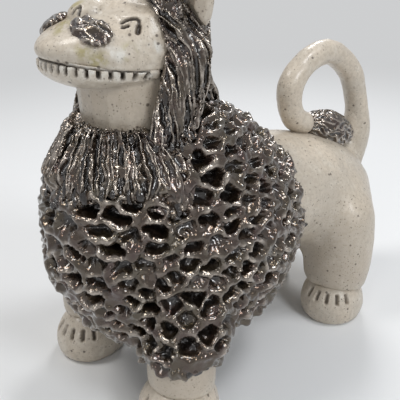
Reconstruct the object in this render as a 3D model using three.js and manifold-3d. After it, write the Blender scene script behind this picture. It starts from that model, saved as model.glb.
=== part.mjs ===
// A hand-built stoneware lion that stands on four paws and looks ahead with its chin up.
// Each lump, coil and slab that the maker joined is a separate closed solid.
// Millimetres, +Z up. The lion faces -Y and its left side is +X.

import * as THREE from "three";
import { mergeVertices } from "three/addons/utils/BufferGeometryUtils.js";
import Module from "manifold-3d";

const wasm = await Module();
wasm.setup();

// Thickness of the slip line between two joined pieces
const SEAT_GAP = 0.3;

// Stance on the table
const WHEELBASE = 107;
const FRONT_TRACK = 64;
const HIND_TRACK = 48;

// Paws: a flattened dome with pressed toe slots
const PAW_WIDTH = 31;
const PAW_LENGTH = 34;
const PAW_HEIGHT = 22;
const PAW_BULGE_HEIGHT = 7;
const PAW_REACH = 3;
const TOE_TURN = 25;
const TOE_SLOT_COUNT = 5;
const TOE_SLOT_SPREAD = 78;
const TOE_SLOT_HEIGHT = 12;
const TOE_SLOT_LENGTH = 6;
const TOE_SLOT_WIDTH = 2;
const TOE_SLOT_DEPTH = 1.6;

// Front legs, which come down out of the mane
const SHOULDER_HEIGHT = 66;
const SHOULDER_DIAMETER = 32;
const SHOULDER_INSET = 12;
const SHOULDER_SET_BACK = 14;
const FOREARM_HEIGHT = 36;
const FRONT_LEG_DIAMETER = 25.5;
const LEG_FOOT_HEIGHT = 8;

// Hind legs, fat at the thigh
const HIP_HEIGHT = 62;
const HIP_DIAMETER = 34;
const HIP_INSET = 4;
const THIGH_HEIGHT = 44;
const THIGH_DIAMETER = 33;
const SHANK_HEIGHT = 25;
const SHANK_DIAMETER = 32;
const HIND_FOOT_DIAMETER = 28;

// Torso: one hollow pot lying on its side, vented under the belly
const TORSO_WALL = 8;
const VENT_DIAMETER = 14;
const VENT_SIDES = 16;
const VENT_SET_FORWARD = 30;
const RUMP_REACH = 39;
const RUMP_END_HEIGHT = 57;
const RUMP_SET_BACK = 24;
const RUMP_HEIGHT = 56;
const RUMP_WIDTH = 52;
const RUMP_DEPTH = 46;
const LOIN_SET_FORWARD = 6;
const LOIN_HEIGHT = 62;
const LOIN_WIDTH = 58;
const LOIN_DEPTH = 54;
const WAIST_SET_BACK = 65;
const WAIST_HEIGHT = 67;
const WAIST_WIDTH = 57;
const WAIST_DEPTH = 57;
const CHEST_SET_BACK = 22;
const CHEST_HEIGHT = 72;
const CHEST_WIDTH = 83;
const CHEST_DEPTH = 82;
const BREAST_REACH = 23;
const BREAST_HEIGHT = 72;

// Neck pillar
const NECK_SET_BACK = 4;
const NECK_WIDTH = 43;
const NECK_DEPTH = 39;
const NECK_FOOT_HEIGHT = 94;
const NECK_MIDDLE_HEIGHT = 116;
const NECK_TOP_HEIGHT = 150;
const NECK_LEAN = 9;

// Head: skull and upper muzzle in one lump, heights taken at the middle of each section
const SKULL_REACH = 18;
const SKULL_HEIGHT = 144;
const SKULL_WIDTH = 44;
const SKULL_DEPTH = 38;
const CROWN_HEIGHT = 140;
const CROWN_WIDTH = 47;
const CROWN_DEPTH = 45;
const BROW_REACH = 10;
const BROW_HEIGHT = 138;
const BROW_WIDTH = 43;
const BROW_DEPTH = 32;
const SNOUT_REACH = 20;
const SNOUT_HEIGHT = 139.5;
const SNOUT_WIDTH = 35;
const SNOUT_DEPTH = 19.5;
const LIP_REACH = 32.3;
const LIP_HEIGHT = 140.5;
const LIP_WIDTH = 27;
const LIP_DEPTH = 10;

// Mouth: one cut that rises in a curve towards the lip and parts the head from the lower jaw
const MOUTH_CORNER_REACH = 5;
const MOUTH_CORNER_HEIGHT = 134.4;
const MOUTH_LIP_HEIGHT = 138.3;
const MOUTH_CURVE = 1.8;
const MOUTH_STEPS = 8;
const JAW_ROOT_SET_BACK = 6;
const JAW_WIDTH = 44;
const JAW_CHIN_WIDTH = 34;
const JAW_DEPTH = 11;
const JAW_CHIN_DEPTH = 12;
const JAW_DROP = 1;
const JAW_SET_IN = 2;
const TOOTH_SLOT_COUNT = 25;
const TOOTH_SLOT_WIDTH = 1.5;
const TOOTH_SLOT_HEIGHT = 3.4;
const TOOTH_SLOT_DEPTH = 1.6;
const TOOTH_ROW_START = 0.45;

// Nose, whisker pads and ears, pressed onto the head. Places are shares of the head's length
// from the back of the skull and angles round it from its left side.
const NOSE_WIDTH = 11;
const NOSE_LENGTH = 11;
const NOSE_DEPTH = 6.5;
const NOSE_PLACE = 0.74;
const PAD_LENGTH = 15.5;
const PAD_WIDTH = 10.5;
const PAD_DEPTH = 4.4;
const PAD_PLACE = 0.82;
const PAD_ANGLE = 48;
const PAD_TURN = 62;
const PAD_DIP = 48;
const EAR_HEIGHT = 19;
const EAR_WIDTH = 12.5;
const EAR_DEPTH = 7;
const EAR_RIM = 2.6;
const EAR_SPREAD = 20;
const EAR_SET_BACK = 10;
const EAR_ROOT_HEIGHT = 147;
const EAR_LEAN = 17;
const EAR_TURN = 21;

// Mane cape: the big pitted mass over chest and shoulders, as sections from hem to collar
const CAPE_HEM_HEIGHT = 28;
const CAPE_HEM_WIDTH = 72;
const CAPE_HEM_REACH = 18;
const CAPE_HEM_BACK = 66;
const CAPE_SKIRT_HEIGHT = 42;
const CAPE_SKIRT_WIDTH = 84;
const CAPE_SKIRT_REACH = 24;
const CAPE_SKIRT_BACK = 73;
const CAPE_BELLY_HEIGHT = 62;
const CAPE_BELLY_WIDTH = 92;
const CAPE_BELLY_REACH = 32;
const CAPE_BELLY_BACK = 84;
const CAPE_CHEST_HEIGHT = 82;
const CAPE_CHEST_WIDTH = 88;
const CAPE_CHEST_REACH = 32;
const CAPE_CHEST_BACK = 81;
const CAPE_COLLAR_HEIGHT = 103;
const CAPE_COLLAR_WIDTH = 73;
const CAPE_COLLAR_REACH = 23;
const CAPE_COLLAR_BACK = 61;
const CAPE_TOP_HEIGHT = 122;
const CAPE_TOP_WIDTH = 56;
const CAPE_TOP_REACH = 2;
const CAPE_TOP_BACK = 33;
const CAPE_REAR_EDGE = 65;

// Sleeves of the cape, which follow the front legs down to their cuffs
const SLEEVE_TOP_DIAMETER = 44;
const SLEEVE_DIAMETER = 36;
const CUFF_HEIGHT = 31;
const CUFF_DIAMETER = 31.5;

// Pits punched into the cape, a row at a time
const PIT_SPACING = 11.5;
const PIT_WIDTH = 7.6;
const PIT_FLOOR_WIDTH = 3.6;
const PIT_DEPTH = 3;
const PIT_CLEARANCE = 1;
const PIT_WALL = 1.2;
const PIT_SIDES = 5;
const PIT_FIRST_ROW = 0.06;
const PIT_LAST_ROW = 0.9;
const CAPE_PIT_ROWS = 10;
const SLEEVE_PIT_ROWS = 5;

// Main comb strokes over the slabs
const COMB_WIDTH = 3;
const COMB_SIDES = 5;
const COMB_STEPS = 8;
const COMB_MARGIN = 0.08;
const RUFF_COMB_ANGLES = [25, 57, 90, 123, 155];
const BEARD_COMB_COUNT = 16;
const BEARD_COMB_SWEEP = 120;
const BEARD_COMB_STEPS = 4;

// Combed slabs of the mane
const BEARD_THICKNESS = 13;
const BEARD_DROP = 34;
const BEARD_HEIGHT = 98;
const BEARD_REACH = 25;
const BEARD_HALF_SPAN = 36;
const BEARD_CORNER_SPREAD = 25.5;
const BEARD_CORNER_REACH = 8;
const RUFF_THICKNESS = 12;
const RUFF_DEPTH = 18.5;
const RUFF_SPREAD = 25;
const RUFF_TOP_SPREAD = 8;
const RUFF_TOP_DEPTH = 15;
const RUFF_TOP_SET_BACK = 3;
const RUFF_TEMPLE_DROP = 8;
const RUFF_TEMPLE_SPREAD = 21.5;
const RUFF_CHEEK_HEIGHT = 141;
const RUFF_THROAT_HEIGHT = 118;
const RUFF_FOOT_HEIGHT = 104;
const RUFF_SWEEP = 10;
const RUFF_SET_BACK = 6.8;
const NAPE_WIDTH = 44;
const NAPE_THICKNESS = 22;
const NAPE_SET_BACK = 16;
const NAPE_TOP_SET_BACK = 10;
const NAPE_TOP_LIFT = 1;
const NAPE_MIDDLE_HEIGHT = 128;
const NAPE_FOOT_SET_BACK = 28;
const NAPE_FOOT_HEIGHT = 108;
const FORELOCK_WIDTH = 34;
const FORELOCK_THICKNESS = 12;
const FORELOCK_LENGTH = 26;
const FORELOCK_REACH = 4.5;
const FORELOCK_FRONT_DIP = 4.5;
const FORELOCK_BACK_DIP = 4;

// Tail coil and its tuft. Heights are taken from the top of the back at the loin, and
// distances from the middle of the hind paws.
const TAIL_DIAMETER = 11;
const TAIL_ROOT_DIAMETER = 15;
const TAIL_RISE_BACK = 40;
const TAIL_KNEE_BACK = 38.5;
const TAIL_KNEE_HEIGHT = 7;
const TAIL_REAR_BACK = 29;
const TAIL_REAR_HEIGHT = 25;
const TAIL_CREST_BACK = 9;
const TAIL_CREST_HEIGHT = 37;
const TAIL_BROW_FORWARD = 10;
const TAIL_BROW_HEIGHT = 30;
const TAIL_FRONT_FORWARD = 16;
const TAIL_FRONT_HEIGHT = 18;
const TAIL_TURN_FORWARD = 11;
const TAIL_TURN_HEIGHT = 8;
const TAIL_END_FORWARD = 1;
const TAIL_END_HEIGHT = 3;
const TUFT_LENGTH = 36;
const TUFT_DROP = 12;
const TUFT_WIDTH = 17;
const TUFT_DEPTH = 16;
const TUFT_TIP_WIDTH = 7.5;
const TUFT_TIP_DEPTH = 7;

// Colours of the speckled clay and of the dark metallic mane glaze
const CLAY = { color: 0xb4aea2, roughness: 0.42, metalness: 0 };
const MANE_GLAZE = { color: 0x2f2823, roughness: 0.3, metalness: 0.35 };

const FRONT_Y = -WHEELBASE / 2;
const HIND_Y = WHEELBASE / 2;
const NECK_Y = FRONT_Y + NECK_SET_BACK;
const CROWN_TOP = CROWN_HEIGHT + CROWN_DEPTH / 2;
const SIDEWAYS = new THREE.Vector3(1, 0, 0);
const BACKWARDS = new THREE.Vector3(0, 1, 0);
const FORWARD = new THREE.Vector3(0, -1, 0);
const WELD = 1e-4;
const FINEST_FACET = 0.05;
const LEFT = { name: "left", sign: 1 };
const RIGHT = { name: "right", sign: -1 };

// One section of a clay form: middle of the section, full width and full height
function section(x, y, z, width, height) {
  return { middle: new THREE.Vector3(x, y, z), width, height };
}

// Position on a clay form. The share runs from 0 at the first section to 1 at the last one,
// and the angle runs round the section from the side direction.
function formPoint(form, grow, share, angle) {
  const middles = form.sections.map((part) => part.middle.clone());
  const last = middles.length - 1;
  const start = middles[0].clone().sub(middles[1]).normalize();
  const end = middles[last].clone().sub(middles[last - 1]).normalize();
  middles[0].addScaledVector(start, grow);
  middles[last].addScaledVector(end, grow);
  const spine = new THREE.CatmullRomCurve3(middles);
  const sizes = form.sections.map((part) => new THREE.Vector3(part.width, part.height, 0));
  const size = new THREE.CatmullRomCurve3(sizes).getPoint(share);
  const tangent = spine.getTangent(share);
  const up = form.up ?? tangent.clone().cross(form.side).normalize();
  const side = form.up ? form.side : up.clone().cross(tangent);
  const fromEnd = Math.min(share, 1 - share) / form.dome;
  const round = fromEnd >= 1 ? 1 : Math.sqrt(Math.max(0, 1 - (1 - fromEnd) ** 2));
  const squared = 2 / form.power;
  const across = Math.sign(Math.cos(angle)) * Math.abs(Math.cos(angle)) ** squared;
  const along = Math.sign(Math.sin(angle)) * Math.abs(Math.sin(angle)) ** squared;
  return spine
    .getPoint(share)
    .addScaledVector(side, across * round * (size.x / 2 + grow))
    .addScaledVector(up, along * round * (size.y / 2 + grow));
}

// A rounded clay form: a sphere drawn out along its sections, with domed ends.
// The dome is the share of the length that each end takes to close.
function clayForm(sections, options = {}) {
  const defaults = { side: SIDEWAYS, dome: 0.3, power: 2, around: 18, rings: 12 };
  return { sections, ...defaults, ...options };
}

function formGeometry(form, grow = 0) {
  const geometry = new THREE.SphereGeometry(1, form.around, form.rings);
  const place = geometry.attributes.position;
  for (let i = 0; i < place.count; i += 1) {
    const share = (1 - place.getY(i)) / 2;
    const angle = Math.atan2(place.getZ(i), place.getX(i));
    const point = formPoint(form, grow, THREE.MathUtils.clamp(share, 0, 1), angle);
    place.setXYZ(i, point.x, point.y, point.z);
  }
  return geometry;
}

function solidOf(geometry) {
  const bare = geometry.clone();
  bare.deleteAttribute("normal");
  bare.deleteAttribute("uv");
  const merged = mergeVertices(bare, WELD);
  const vertProperties = merged.attributes.position.array;
  const triVerts = new Uint32Array(merged.index.array);
  return new wasm.Manifold(new wasm.Mesh({ numProp: 3, vertProperties, triVerts }));
}

function formSolid(form, grow = 0) {
  return solidOf(formGeometry(form, grow));
}

// The form with room for each neighbour that it is pressed against
function seated(form, neighbours) {
  let solid = formSolid(form);
  for (const neighbour of neighbours) {
    solid = solid.subtract(formSolid(neighbour, SEAT_GAP));
  }
  return solid;
}

function block(low, high) {
  const box = new THREE.Box3(low, high);
  const size = box.getSize(new THREE.Vector3());
  const middle = box.getCenter(new THREE.Vector3());
  const geometry = new THREE.BoxGeometry(size.x, size.y, size.z);
  geometry.translate(middle.x, middle.y, middle.z);
  return solidOf(geometry);
}

const lion = new THREE.Group();

function addPiece(name, solid, look) {
  const mesh = solid.simplify(FINEST_FACET).getMesh();
  const geometry = new THREE.BufferGeometry();
  geometry.setAttribute("position", new THREE.BufferAttribute(mesh.vertProperties, 3));
  geometry.setIndex(new THREE.BufferAttribute(mesh.triVerts, 1));
  geometry.computeBoundingBox();
  const middle = geometry.boundingBox.getCenter(new THREE.Vector3());
  geometry.translate(-middle.x, -middle.y, -middle.z);
  geometry.computeVertexNormals();
  const piece = new THREE.Mesh(geometry, new THREE.MeshStandardMaterial(look));
  piece.name = name;
  piece.position.copy(middle);
  lion.add(piece);
}

// Torso form from rump to breast
const torso = clayForm(
  [
    section(0, HIND_Y + RUMP_REACH, RUMP_END_HEIGHT, RUMP_WIDTH, RUMP_DEPTH),
    section(0, HIND_Y + RUMP_SET_BACK, RUMP_HEIGHT, RUMP_WIDTH, RUMP_DEPTH),
    section(0, HIND_Y - LOIN_SET_FORWARD, LOIN_HEIGHT, LOIN_WIDTH, LOIN_DEPTH),
    section(0, FRONT_Y + WAIST_SET_BACK, WAIST_HEIGHT, WAIST_WIDTH, WAIST_DEPTH),
    section(0, FRONT_Y + CHEST_SET_BACK, CHEST_HEIGHT, CHEST_WIDTH, CHEST_DEPTH),
    section(0, FRONT_Y - BREAST_REACH, BREAST_HEIGHT, CHEST_WIDTH, CHEST_DEPTH),
  ],
  { dome: 0.4, around: 24, rings: 20 },
);

// Legs from the body down into the paws
const SHOULDER_Y = FRONT_Y + SHOULDER_SET_BACK;

function shoulderX(at) {
  return at.sign * (FRONT_TRACK / 2 - SHOULDER_INSET);
}

function legForms(at) {
  const legX = at.sign * FRONT_TRACK / 2;
  const front = clayForm(
    [
      section(shoulderX(at), SHOULDER_Y, SHOULDER_HEIGHT, SHOULDER_DIAMETER, SHOULDER_DIAMETER),
      section(legX, FRONT_Y, FOREARM_HEIGHT, FRONT_LEG_DIAMETER, FRONT_LEG_DIAMETER),
      section(legX, FRONT_Y, LEG_FOOT_HEIGHT, FRONT_LEG_DIAMETER, FRONT_LEG_DIAMETER),
    ],
    { dome: 0.14, around: 16, rings: 9 },
  );
  const hipX = at.sign * (HIND_TRACK / 2 - HIP_INSET);
  const pawX = at.sign * HIND_TRACK / 2;
  const hind = clayForm(
    [
      section(hipX, HIND_Y, HIP_HEIGHT, HIP_DIAMETER, HIP_DIAMETER),
      section(pawX, HIND_Y, THIGH_HEIGHT, THIGH_DIAMETER, THIGH_DIAMETER),
      section(pawX, HIND_Y, SHANK_HEIGHT, SHANK_DIAMETER, SHANK_DIAMETER),
      section(pawX, HIND_Y, LEG_FOOT_HEIGHT, HIND_FOOT_DIAMETER, HIND_FOOT_DIAMETER),
    ],
    { dome: 0.2, around: 16, rings: 12 },
  );
  return { front, hind };
}

// A paw with its toes turned by an angle from straight ahead
function pawForm(x, y, turn) {
  const ahead = new THREE.Vector3(Math.sin(turn), -Math.cos(turn), 0);
  const side = new THREE.Vector3(Math.cos(turn), Math.sin(turn), 0);
  const middle = new THREE.Vector3(x, y, PAW_BULGE_HEIGHT).addScaledVector(ahead, PAW_REACH);
  const heel = middle.clone().addScaledVector(ahead, -PAW_LENGTH / 2);
  const toe = middle.clone().addScaledVector(ahead, PAW_LENGTH / 2);
  const height = 2 * (PAW_HEIGHT - PAW_BULGE_HEIGHT);
  const ends = [heel, toe].map((end) => section(end.x, end.y, end.z, PAW_WIDTH, height));
  return { ...clayForm(ends, { side, dome: 0.5, around: 16, rings: 10 }), middle, ahead, turn };
}

function pawSolid(paw) {
  let solid = formSolid(paw);
  const reach = PAW_LENGTH + PAW_WIDTH;
  const low = new THREE.Vector3(paw.middle.x - reach, paw.middle.y - reach, -reach);
  const high = new THREE.Vector3(paw.middle.x + reach, paw.middle.y + reach, 0);
  solid = solid.subtract(block(low, high));
  for (let i = 0; i < TOE_SLOT_COUNT; i += 1) {
    const spread = THREE.MathUtils.degToRad(TOE_SLOT_SPREAD * (i / (TOE_SLOT_COUNT - 1) - 0.5));
    const ends = [-0.5, 0.5].map((end) => {
      const height = TOE_SLOT_HEIGHT + end * TOE_SLOT_LENGTH;
      const rise = (height - PAW_BULGE_HEIGHT) / (PAW_HEIGHT - PAW_BULGE_HEIGHT);
      const girth = Math.sqrt(1 - rise ** 2);
      const side = paw.side.clone().multiplyScalar(Math.sin(spread) * girth * PAW_WIDTH / 2);
      const point = paw.middle.clone().add(side);
      point.addScaledVector(paw.ahead, Math.cos(spread) * girth * PAW_LENGTH / 2);
      point.z = height;
      return section(point.x, point.y, point.z, TOE_SLOT_WIDTH, 2 * TOE_SLOT_DEPTH);
    });
    const facing = paw.turn + spread;
    const side = new THREE.Vector3(Math.cos(facing), Math.sin(facing), 0);
    solid = solid.subtract(formSolid(clayForm(ends, { side, dome: 0.4, around: 5, rings: 3 })));
  }
  return solid;
}

// Neck, head and jaw forms
const neck = clayForm(
  [
    section(0, NECK_Y + NECK_LEAN, NECK_FOOT_HEIGHT, NECK_WIDTH, NECK_DEPTH),
    section(0, NECK_Y, NECK_MIDDLE_HEIGHT, NECK_WIDTH, NECK_DEPTH),
    section(0, NECK_Y, NECK_TOP_HEIGHT, NECK_WIDTH, NECK_DEPTH),
  ],
  { dome: 0.15, around: 18, rings: 8 },
);

const head = clayForm(
  [
    section(0, NECK_Y + SKULL_REACH, SKULL_HEIGHT, SKULL_WIDTH, SKULL_DEPTH),
    section(0, NECK_Y + SKULL_REACH / 2, SKULL_HEIGHT, SKULL_WIDTH, SKULL_DEPTH),
    section(0, NECK_Y, CROWN_HEIGHT, CROWN_WIDTH, CROWN_DEPTH),
    section(0, NECK_Y - BROW_REACH, BROW_HEIGHT, BROW_WIDTH, BROW_DEPTH),
    section(0, NECK_Y - SNOUT_REACH, SNOUT_HEIGHT, SNOUT_WIDTH, SNOUT_DEPTH),
    section(0, NECK_Y - LIP_REACH, LIP_HEIGHT, LIP_WIDTH, LIP_DEPTH),
  ],
  { dome: 0.22, power: 2.1, around: 24, rings: 20 },
);

// Height of the mouth cut at a place along the body
function mouthHeight(y) {
  const share = (NECK_Y - MOUTH_CORNER_REACH - y) / (LIP_REACH - MOUTH_CORNER_REACH);
  return MOUTH_CORNER_HEIGHT + Math.max(0, share) ** MOUTH_CURVE * (MOUTH_LIP_HEIGHT - MOUTH_CORNER_HEIGHT);
}

const jawLine = [
  [JAW_ROOT_SET_BACK, JAW_WIDTH, JAW_DEPTH],
  [-MOUTH_CORNER_REACH, JAW_WIDTH, JAW_DEPTH],
  [-SNOUT_REACH, JAW_CHIN_WIDTH, JAW_CHIN_DEPTH],
  [JAW_SET_IN - LIP_REACH, JAW_CHIN_WIDTH, JAW_CHIN_DEPTH],
];
const jaw = clayForm(
  jawLine.map(([ahead, width, depth]) => {
    const y = NECK_Y + ahead;
    return section(0, y, mouthHeight(y) - JAW_DROP, width, depth);
  }),
  { dome: 0.3, power: 2.5, around: 18, rings: 14 },
);

// Everything between the mouth cut, lifted by some distance, and the same cut further up or down
const MOUTH_BACK = NECK_Y + SKULL_REACH + CROWN_DEPTH;
const MOUTH_FAR = NECK_Y - 2 * LIP_REACH;
function mouthBlock(lift, thickness) {
  const places = [MOUTH_BACK];
  for (let i = 0; i <= MOUTH_STEPS; i += 1) {
    places.push(NECK_Y - MOUTH_CORNER_REACH - (LIP_REACH - MOUTH_CORNER_REACH) * (i / MOUTH_STEPS));
  }
  places.push(MOUTH_FAR);
  const line = places.map((y) => new THREE.Vector2(y, mouthHeight(y) + lift));
  const shifted = line.map((point) => new THREE.Vector2(point.x, point.y + thickness));
  const outline = new THREE.Shape([...line, ...shifted.reverse()]);
  const depth = 2 * CROWN_WIDTH;
  const geometry = new THREE.ExtrudeGeometry(outline, { depth, bevelEnabled: false });
  const upwards = new THREE.Vector3(0, 0, 1);
  geometry.applyMatrix4(new THREE.Matrix4().makeBasis(BACKWARDS, upwards, SIDEWAYS));
  geometry.translate(-depth / 2, 0, 0);
  return solidOf(geometry);
}

// Direction straight out of a clay form
function formNormal(form, share, angle) {
  const step = 0.02;
  const ahead = formPoint(form, 0, share + step, angle).sub(formPoint(form, 0, share - step, angle));
  const around = formPoint(form, 0, share, angle + step).sub(formPoint(form, 0, share, angle - step));
  return around.cross(ahead).normalize();
}

// Small lumps pressed onto the head, set on its surface
function headLump(share, angle, length, width, depth, along) {
  const middle = formPoint(head, 0, share, angle);
  const outward = formNormal(head, share, angle);
  const inPlane = along.clone().addScaledVector(outward, -along.dot(outward)).normalize();
  const side = inPlane.clone().cross(outward);
  const ends = [-0.5, 0.5].map((end) => {
    const point = middle.clone().addScaledVector(inPlane, end * length);
    return section(point.x, point.y, point.z, width, depth);
  });
  return clayForm(ends, { side, dome: 0.5, around: 12, rings: 8 });
}

const nose = headLump(NOSE_PLACE, Math.PI / 2, NOSE_LENGTH, NOSE_WIDTH, NOSE_DEPTH, FORWARD);

// A whisker pad slopes back, out and down from beside the nose
function padForm(at) {
  const angle = THREE.MathUtils.degToRad(PAD_ANGLE);
  const turn = THREE.MathUtils.degToRad(PAD_TURN);
  const dip = THREE.MathUtils.degToRad(PAD_DIP);
  const level = Math.cos(dip);
  const slope = new THREE.Vector3(
    at.sign * Math.sin(turn) * level,
    Math.cos(turn) * level,
    -Math.sin(dip),
  );
  const around = at.sign > 0 ? angle : Math.PI - angle;
  return headLump(PAD_PLACE, around, PAD_LENGTH, PAD_WIDTH, PAD_DEPTH, slope);
}

// Ears stand out of the mane at the back corners of the skull, cupped towards the front
function earForm(at, shrink, ahead) {
  const root = new THREE.Vector3(at.sign * EAR_SPREAD, NECK_Y + EAR_SET_BACK, EAR_ROOT_HEIGHT);
  const leanAngle = THREE.MathUtils.degToRad(EAR_LEAN);
  const turn = THREE.MathUtils.degToRad(EAR_TURN);
  const lean = new THREE.Vector3(at.sign * Math.sin(leanAngle), 0, Math.cos(leanAngle));
  const facing = new THREE.Vector3(at.sign * Math.sin(turn), -Math.cos(turn), 0);
  const side = lean.clone().cross(facing).normalize();
  const foot = root.clone().addScaledVector(lean, shrink);
  const tip = root.clone().addScaledVector(lean, EAR_HEIGHT - shrink);
  const ends = [foot, tip].map((end) => {
    const place = end.addScaledVector(facing, ahead);
    return section(place.x, place.y, place.z, EAR_WIDTH - 2 * shrink, EAR_DEPTH);
  });
  return clayForm(ends, { side, dome: 0.5, around: 12, rings: 7 });
}

// Mane forms
const capeSections = [
  [CAPE_HEM_HEIGHT, CAPE_HEM_WIDTH, CAPE_HEM_REACH, CAPE_HEM_BACK],
  [CAPE_SKIRT_HEIGHT, CAPE_SKIRT_WIDTH, CAPE_SKIRT_REACH, CAPE_SKIRT_BACK],
  [CAPE_BELLY_HEIGHT, CAPE_BELLY_WIDTH, CAPE_BELLY_REACH, CAPE_BELLY_BACK],
  [CAPE_CHEST_HEIGHT, CAPE_CHEST_WIDTH, CAPE_CHEST_REACH, CAPE_CHEST_BACK],
  [CAPE_COLLAR_HEIGHT, CAPE_COLLAR_WIDTH, CAPE_COLLAR_REACH, CAPE_COLLAR_BACK],
  [CAPE_TOP_HEIGHT, CAPE_TOP_WIDTH, CAPE_TOP_REACH, CAPE_TOP_BACK],
].map(([height, width, reach, back]) => {
  return section(0, FRONT_Y + (back - reach) / 2, height, width, back + reach);
});
const cape = clayForm(capeSections, { up: BACKWARDS, dome: 0.1, around: 30, rings: 18 });

// A sleeve has the same line as the leg inside it
function sleeveForm(at) {
  const legX = at.sign * FRONT_TRACK / 2;
  return clayForm(
    [
      section(legX, FRONT_Y, CUFF_HEIGHT, CUFF_DIAMETER, CUFF_DIAMETER),
      section(legX, FRONT_Y, FOREARM_HEIGHT, SLEEVE_DIAMETER, SLEEVE_DIAMETER),
      section(shoulderX(at), SHOULDER_Y, SHOULDER_HEIGHT, SLEEVE_TOP_DIAMETER, SLEEVE_TOP_DIAMETER),
    ],
    { up: BACKWARDS, dome: 0.1, around: 18, rings: 9 },
  );
}

const beardLine = [
  [BEARD_HALF_SPAN, NECK_Y],
  [BEARD_CORNER_SPREAD, FRONT_Y - BEARD_CORNER_REACH],
  [0, FRONT_Y - BEARD_REACH],
  [-BEARD_CORNER_SPREAD, FRONT_Y - BEARD_CORNER_REACH],
  [-BEARD_HALF_SPAN, NECK_Y],
];
const beard = clayForm(
  beardLine.map(([x, y]) => section(x, y, BEARD_HEIGHT, BEARD_THICKNESS, BEARD_DROP)),
  { side: BACKWARDS, dome: 0.12, around: 12, rings: 18 },
);

function ruffForm(at) {
  const topY = NECK_Y + RUFF_TOP_SET_BACK;
  const y = NECK_Y + RUFF_SET_BACK;
  const topX = at.sign * RUFF_TOP_SPREAD;
  const templeX = at.sign * RUFF_TEMPLE_SPREAD;
  const x = at.sign * RUFF_SPREAD;
  return clayForm(
    [
      section(topX, topY, CROWN_TOP, RUFF_TOP_DEPTH, RUFF_THICKNESS),
      section(templeX, topY, CROWN_TOP - RUFF_TEMPLE_DROP, RUFF_TOP_DEPTH, RUFF_THICKNESS),
      section(x, y, RUFF_CHEEK_HEIGHT, RUFF_DEPTH, RUFF_THICKNESS),
      section(x, y - RUFF_SWEEP / 2, RUFF_THROAT_HEIGHT, RUFF_DEPTH, RUFF_THICKNESS),
      section(x, y - RUFF_SWEEP, RUFF_FOOT_HEIGHT, RUFF_DEPTH, RUFF_THICKNESS),
    ],
    { side: BACKWARDS, dome: 0.12, around: 12, rings: 14 },
  );
}

const nape = clayForm(
  [
    section(0, NECK_Y + NAPE_TOP_SET_BACK, CROWN_TOP + NAPE_TOP_LIFT, NAPE_WIDTH, NAPE_THICKNESS),
    section(0, NECK_Y + NAPE_SET_BACK, SKULL_HEIGHT, NAPE_WIDTH, NAPE_THICKNESS),
    section(0, NECK_Y + NAPE_SET_BACK, NAPE_MIDDLE_HEIGHT, NAPE_WIDTH, NAPE_THICKNESS),
    section(0, NECK_Y + NAPE_FOOT_SET_BACK, NAPE_FOOT_HEIGHT, NAPE_WIDTH, NAPE_THICKNESS),
  ],
  { dome: 0.18, around: 16, rings: 11 },
);

const FORELOCK_Y = NECK_Y - FORELOCK_REACH;
const forelockLine = [
  [FORELOCK_Y, CROWN_TOP - FORELOCK_FRONT_DIP],
  [NECK_Y, CROWN_TOP],
  [FORELOCK_Y + FORELOCK_LENGTH, CROWN_TOP - FORELOCK_BACK_DIP],
];
const forelock = clayForm(
  forelockLine.map(([y, z]) => section(0, y, z, FORELOCK_WIDTH, FORELOCK_THICKNESS)),
  { dome: 0.35, around: 12, rings: 9 },
);

// Tail: a coil that leaves the rump, loops up and forward and comes down on the back
const BACK_TOP = LOIN_HEIGHT + LOIN_DEPTH / 2;
const RISE_Y = HIND_Y + TAIL_RISE_BACK;
const tailRoute = [
  [RISE_Y - TAIL_ROOT_DIAMETER / 2, RUMP_END_HEIGHT],
  [RISE_Y, RUMP_END_HEIGHT + RUMP_DEPTH / 2],
  [HIND_Y + TAIL_KNEE_BACK, BACK_TOP + TAIL_KNEE_HEIGHT],
  [HIND_Y + TAIL_REAR_BACK, BACK_TOP + TAIL_REAR_HEIGHT],
  [HIND_Y + TAIL_CREST_BACK, BACK_TOP + TAIL_CREST_HEIGHT],
  [HIND_Y - TAIL_BROW_FORWARD, BACK_TOP + TAIL_BROW_HEIGHT],
  [HIND_Y - TAIL_FRONT_FORWARD, BACK_TOP + TAIL_FRONT_HEIGHT],
  [HIND_Y - TAIL_TURN_FORWARD, BACK_TOP + TAIL_TURN_HEIGHT],
  [HIND_Y - TAIL_END_FORWARD, BACK_TOP + TAIL_END_HEIGHT],
];
const tailSections = tailRoute.map(([y, z], i) => {
  const thick = i < 2 ? TAIL_ROOT_DIAMETER : TAIL_DIAMETER;
  return section(0, y, z, thick, thick);
});
const tail = clayForm(tailSections, { dome: 0.04, around: 12, rings: 40 });

// The tuft starts round the end of the coil and lies down along the back
const tailEnd = tailSections.at(-1).middle;
const tuft = clayForm(
  [
    section(0, tailEnd.y, tailEnd.z, TUFT_WIDTH, TUFT_DEPTH),
    section(0, tailEnd.y + TUFT_LENGTH / 2, tailEnd.z - TUFT_DROP / 2, TUFT_WIDTH, TUFT_DEPTH),
    section(0, tailEnd.y + TUFT_LENGTH, tailEnd.z - TUFT_DROP, TUFT_TIP_WIDTH, TUFT_TIP_DEPTH),
  ],
  { dome: 0.45, around: 12, rings: 9 },
);

// The pieces, in the order in which they are joined

// Torso with its hollow and the vent that lets kiln gas out
const hollow = formSolid(torso, -TORSO_WALL);
const ventRadius = VENT_DIAMETER / 2;
const ventGeometry = new THREE.CylinderGeometry(ventRadius, ventRadius, LOIN_HEIGHT, VENT_SIDES);
ventGeometry.rotateX(Math.PI / 2);
ventGeometry.translate(0, HIND_Y - VENT_SET_FORWARD, LOIN_HEIGHT / 2);
addPiece("torso", formSolid(torso).subtract(hollow).subtract(solidOf(ventGeometry)), CLAY);

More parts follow.
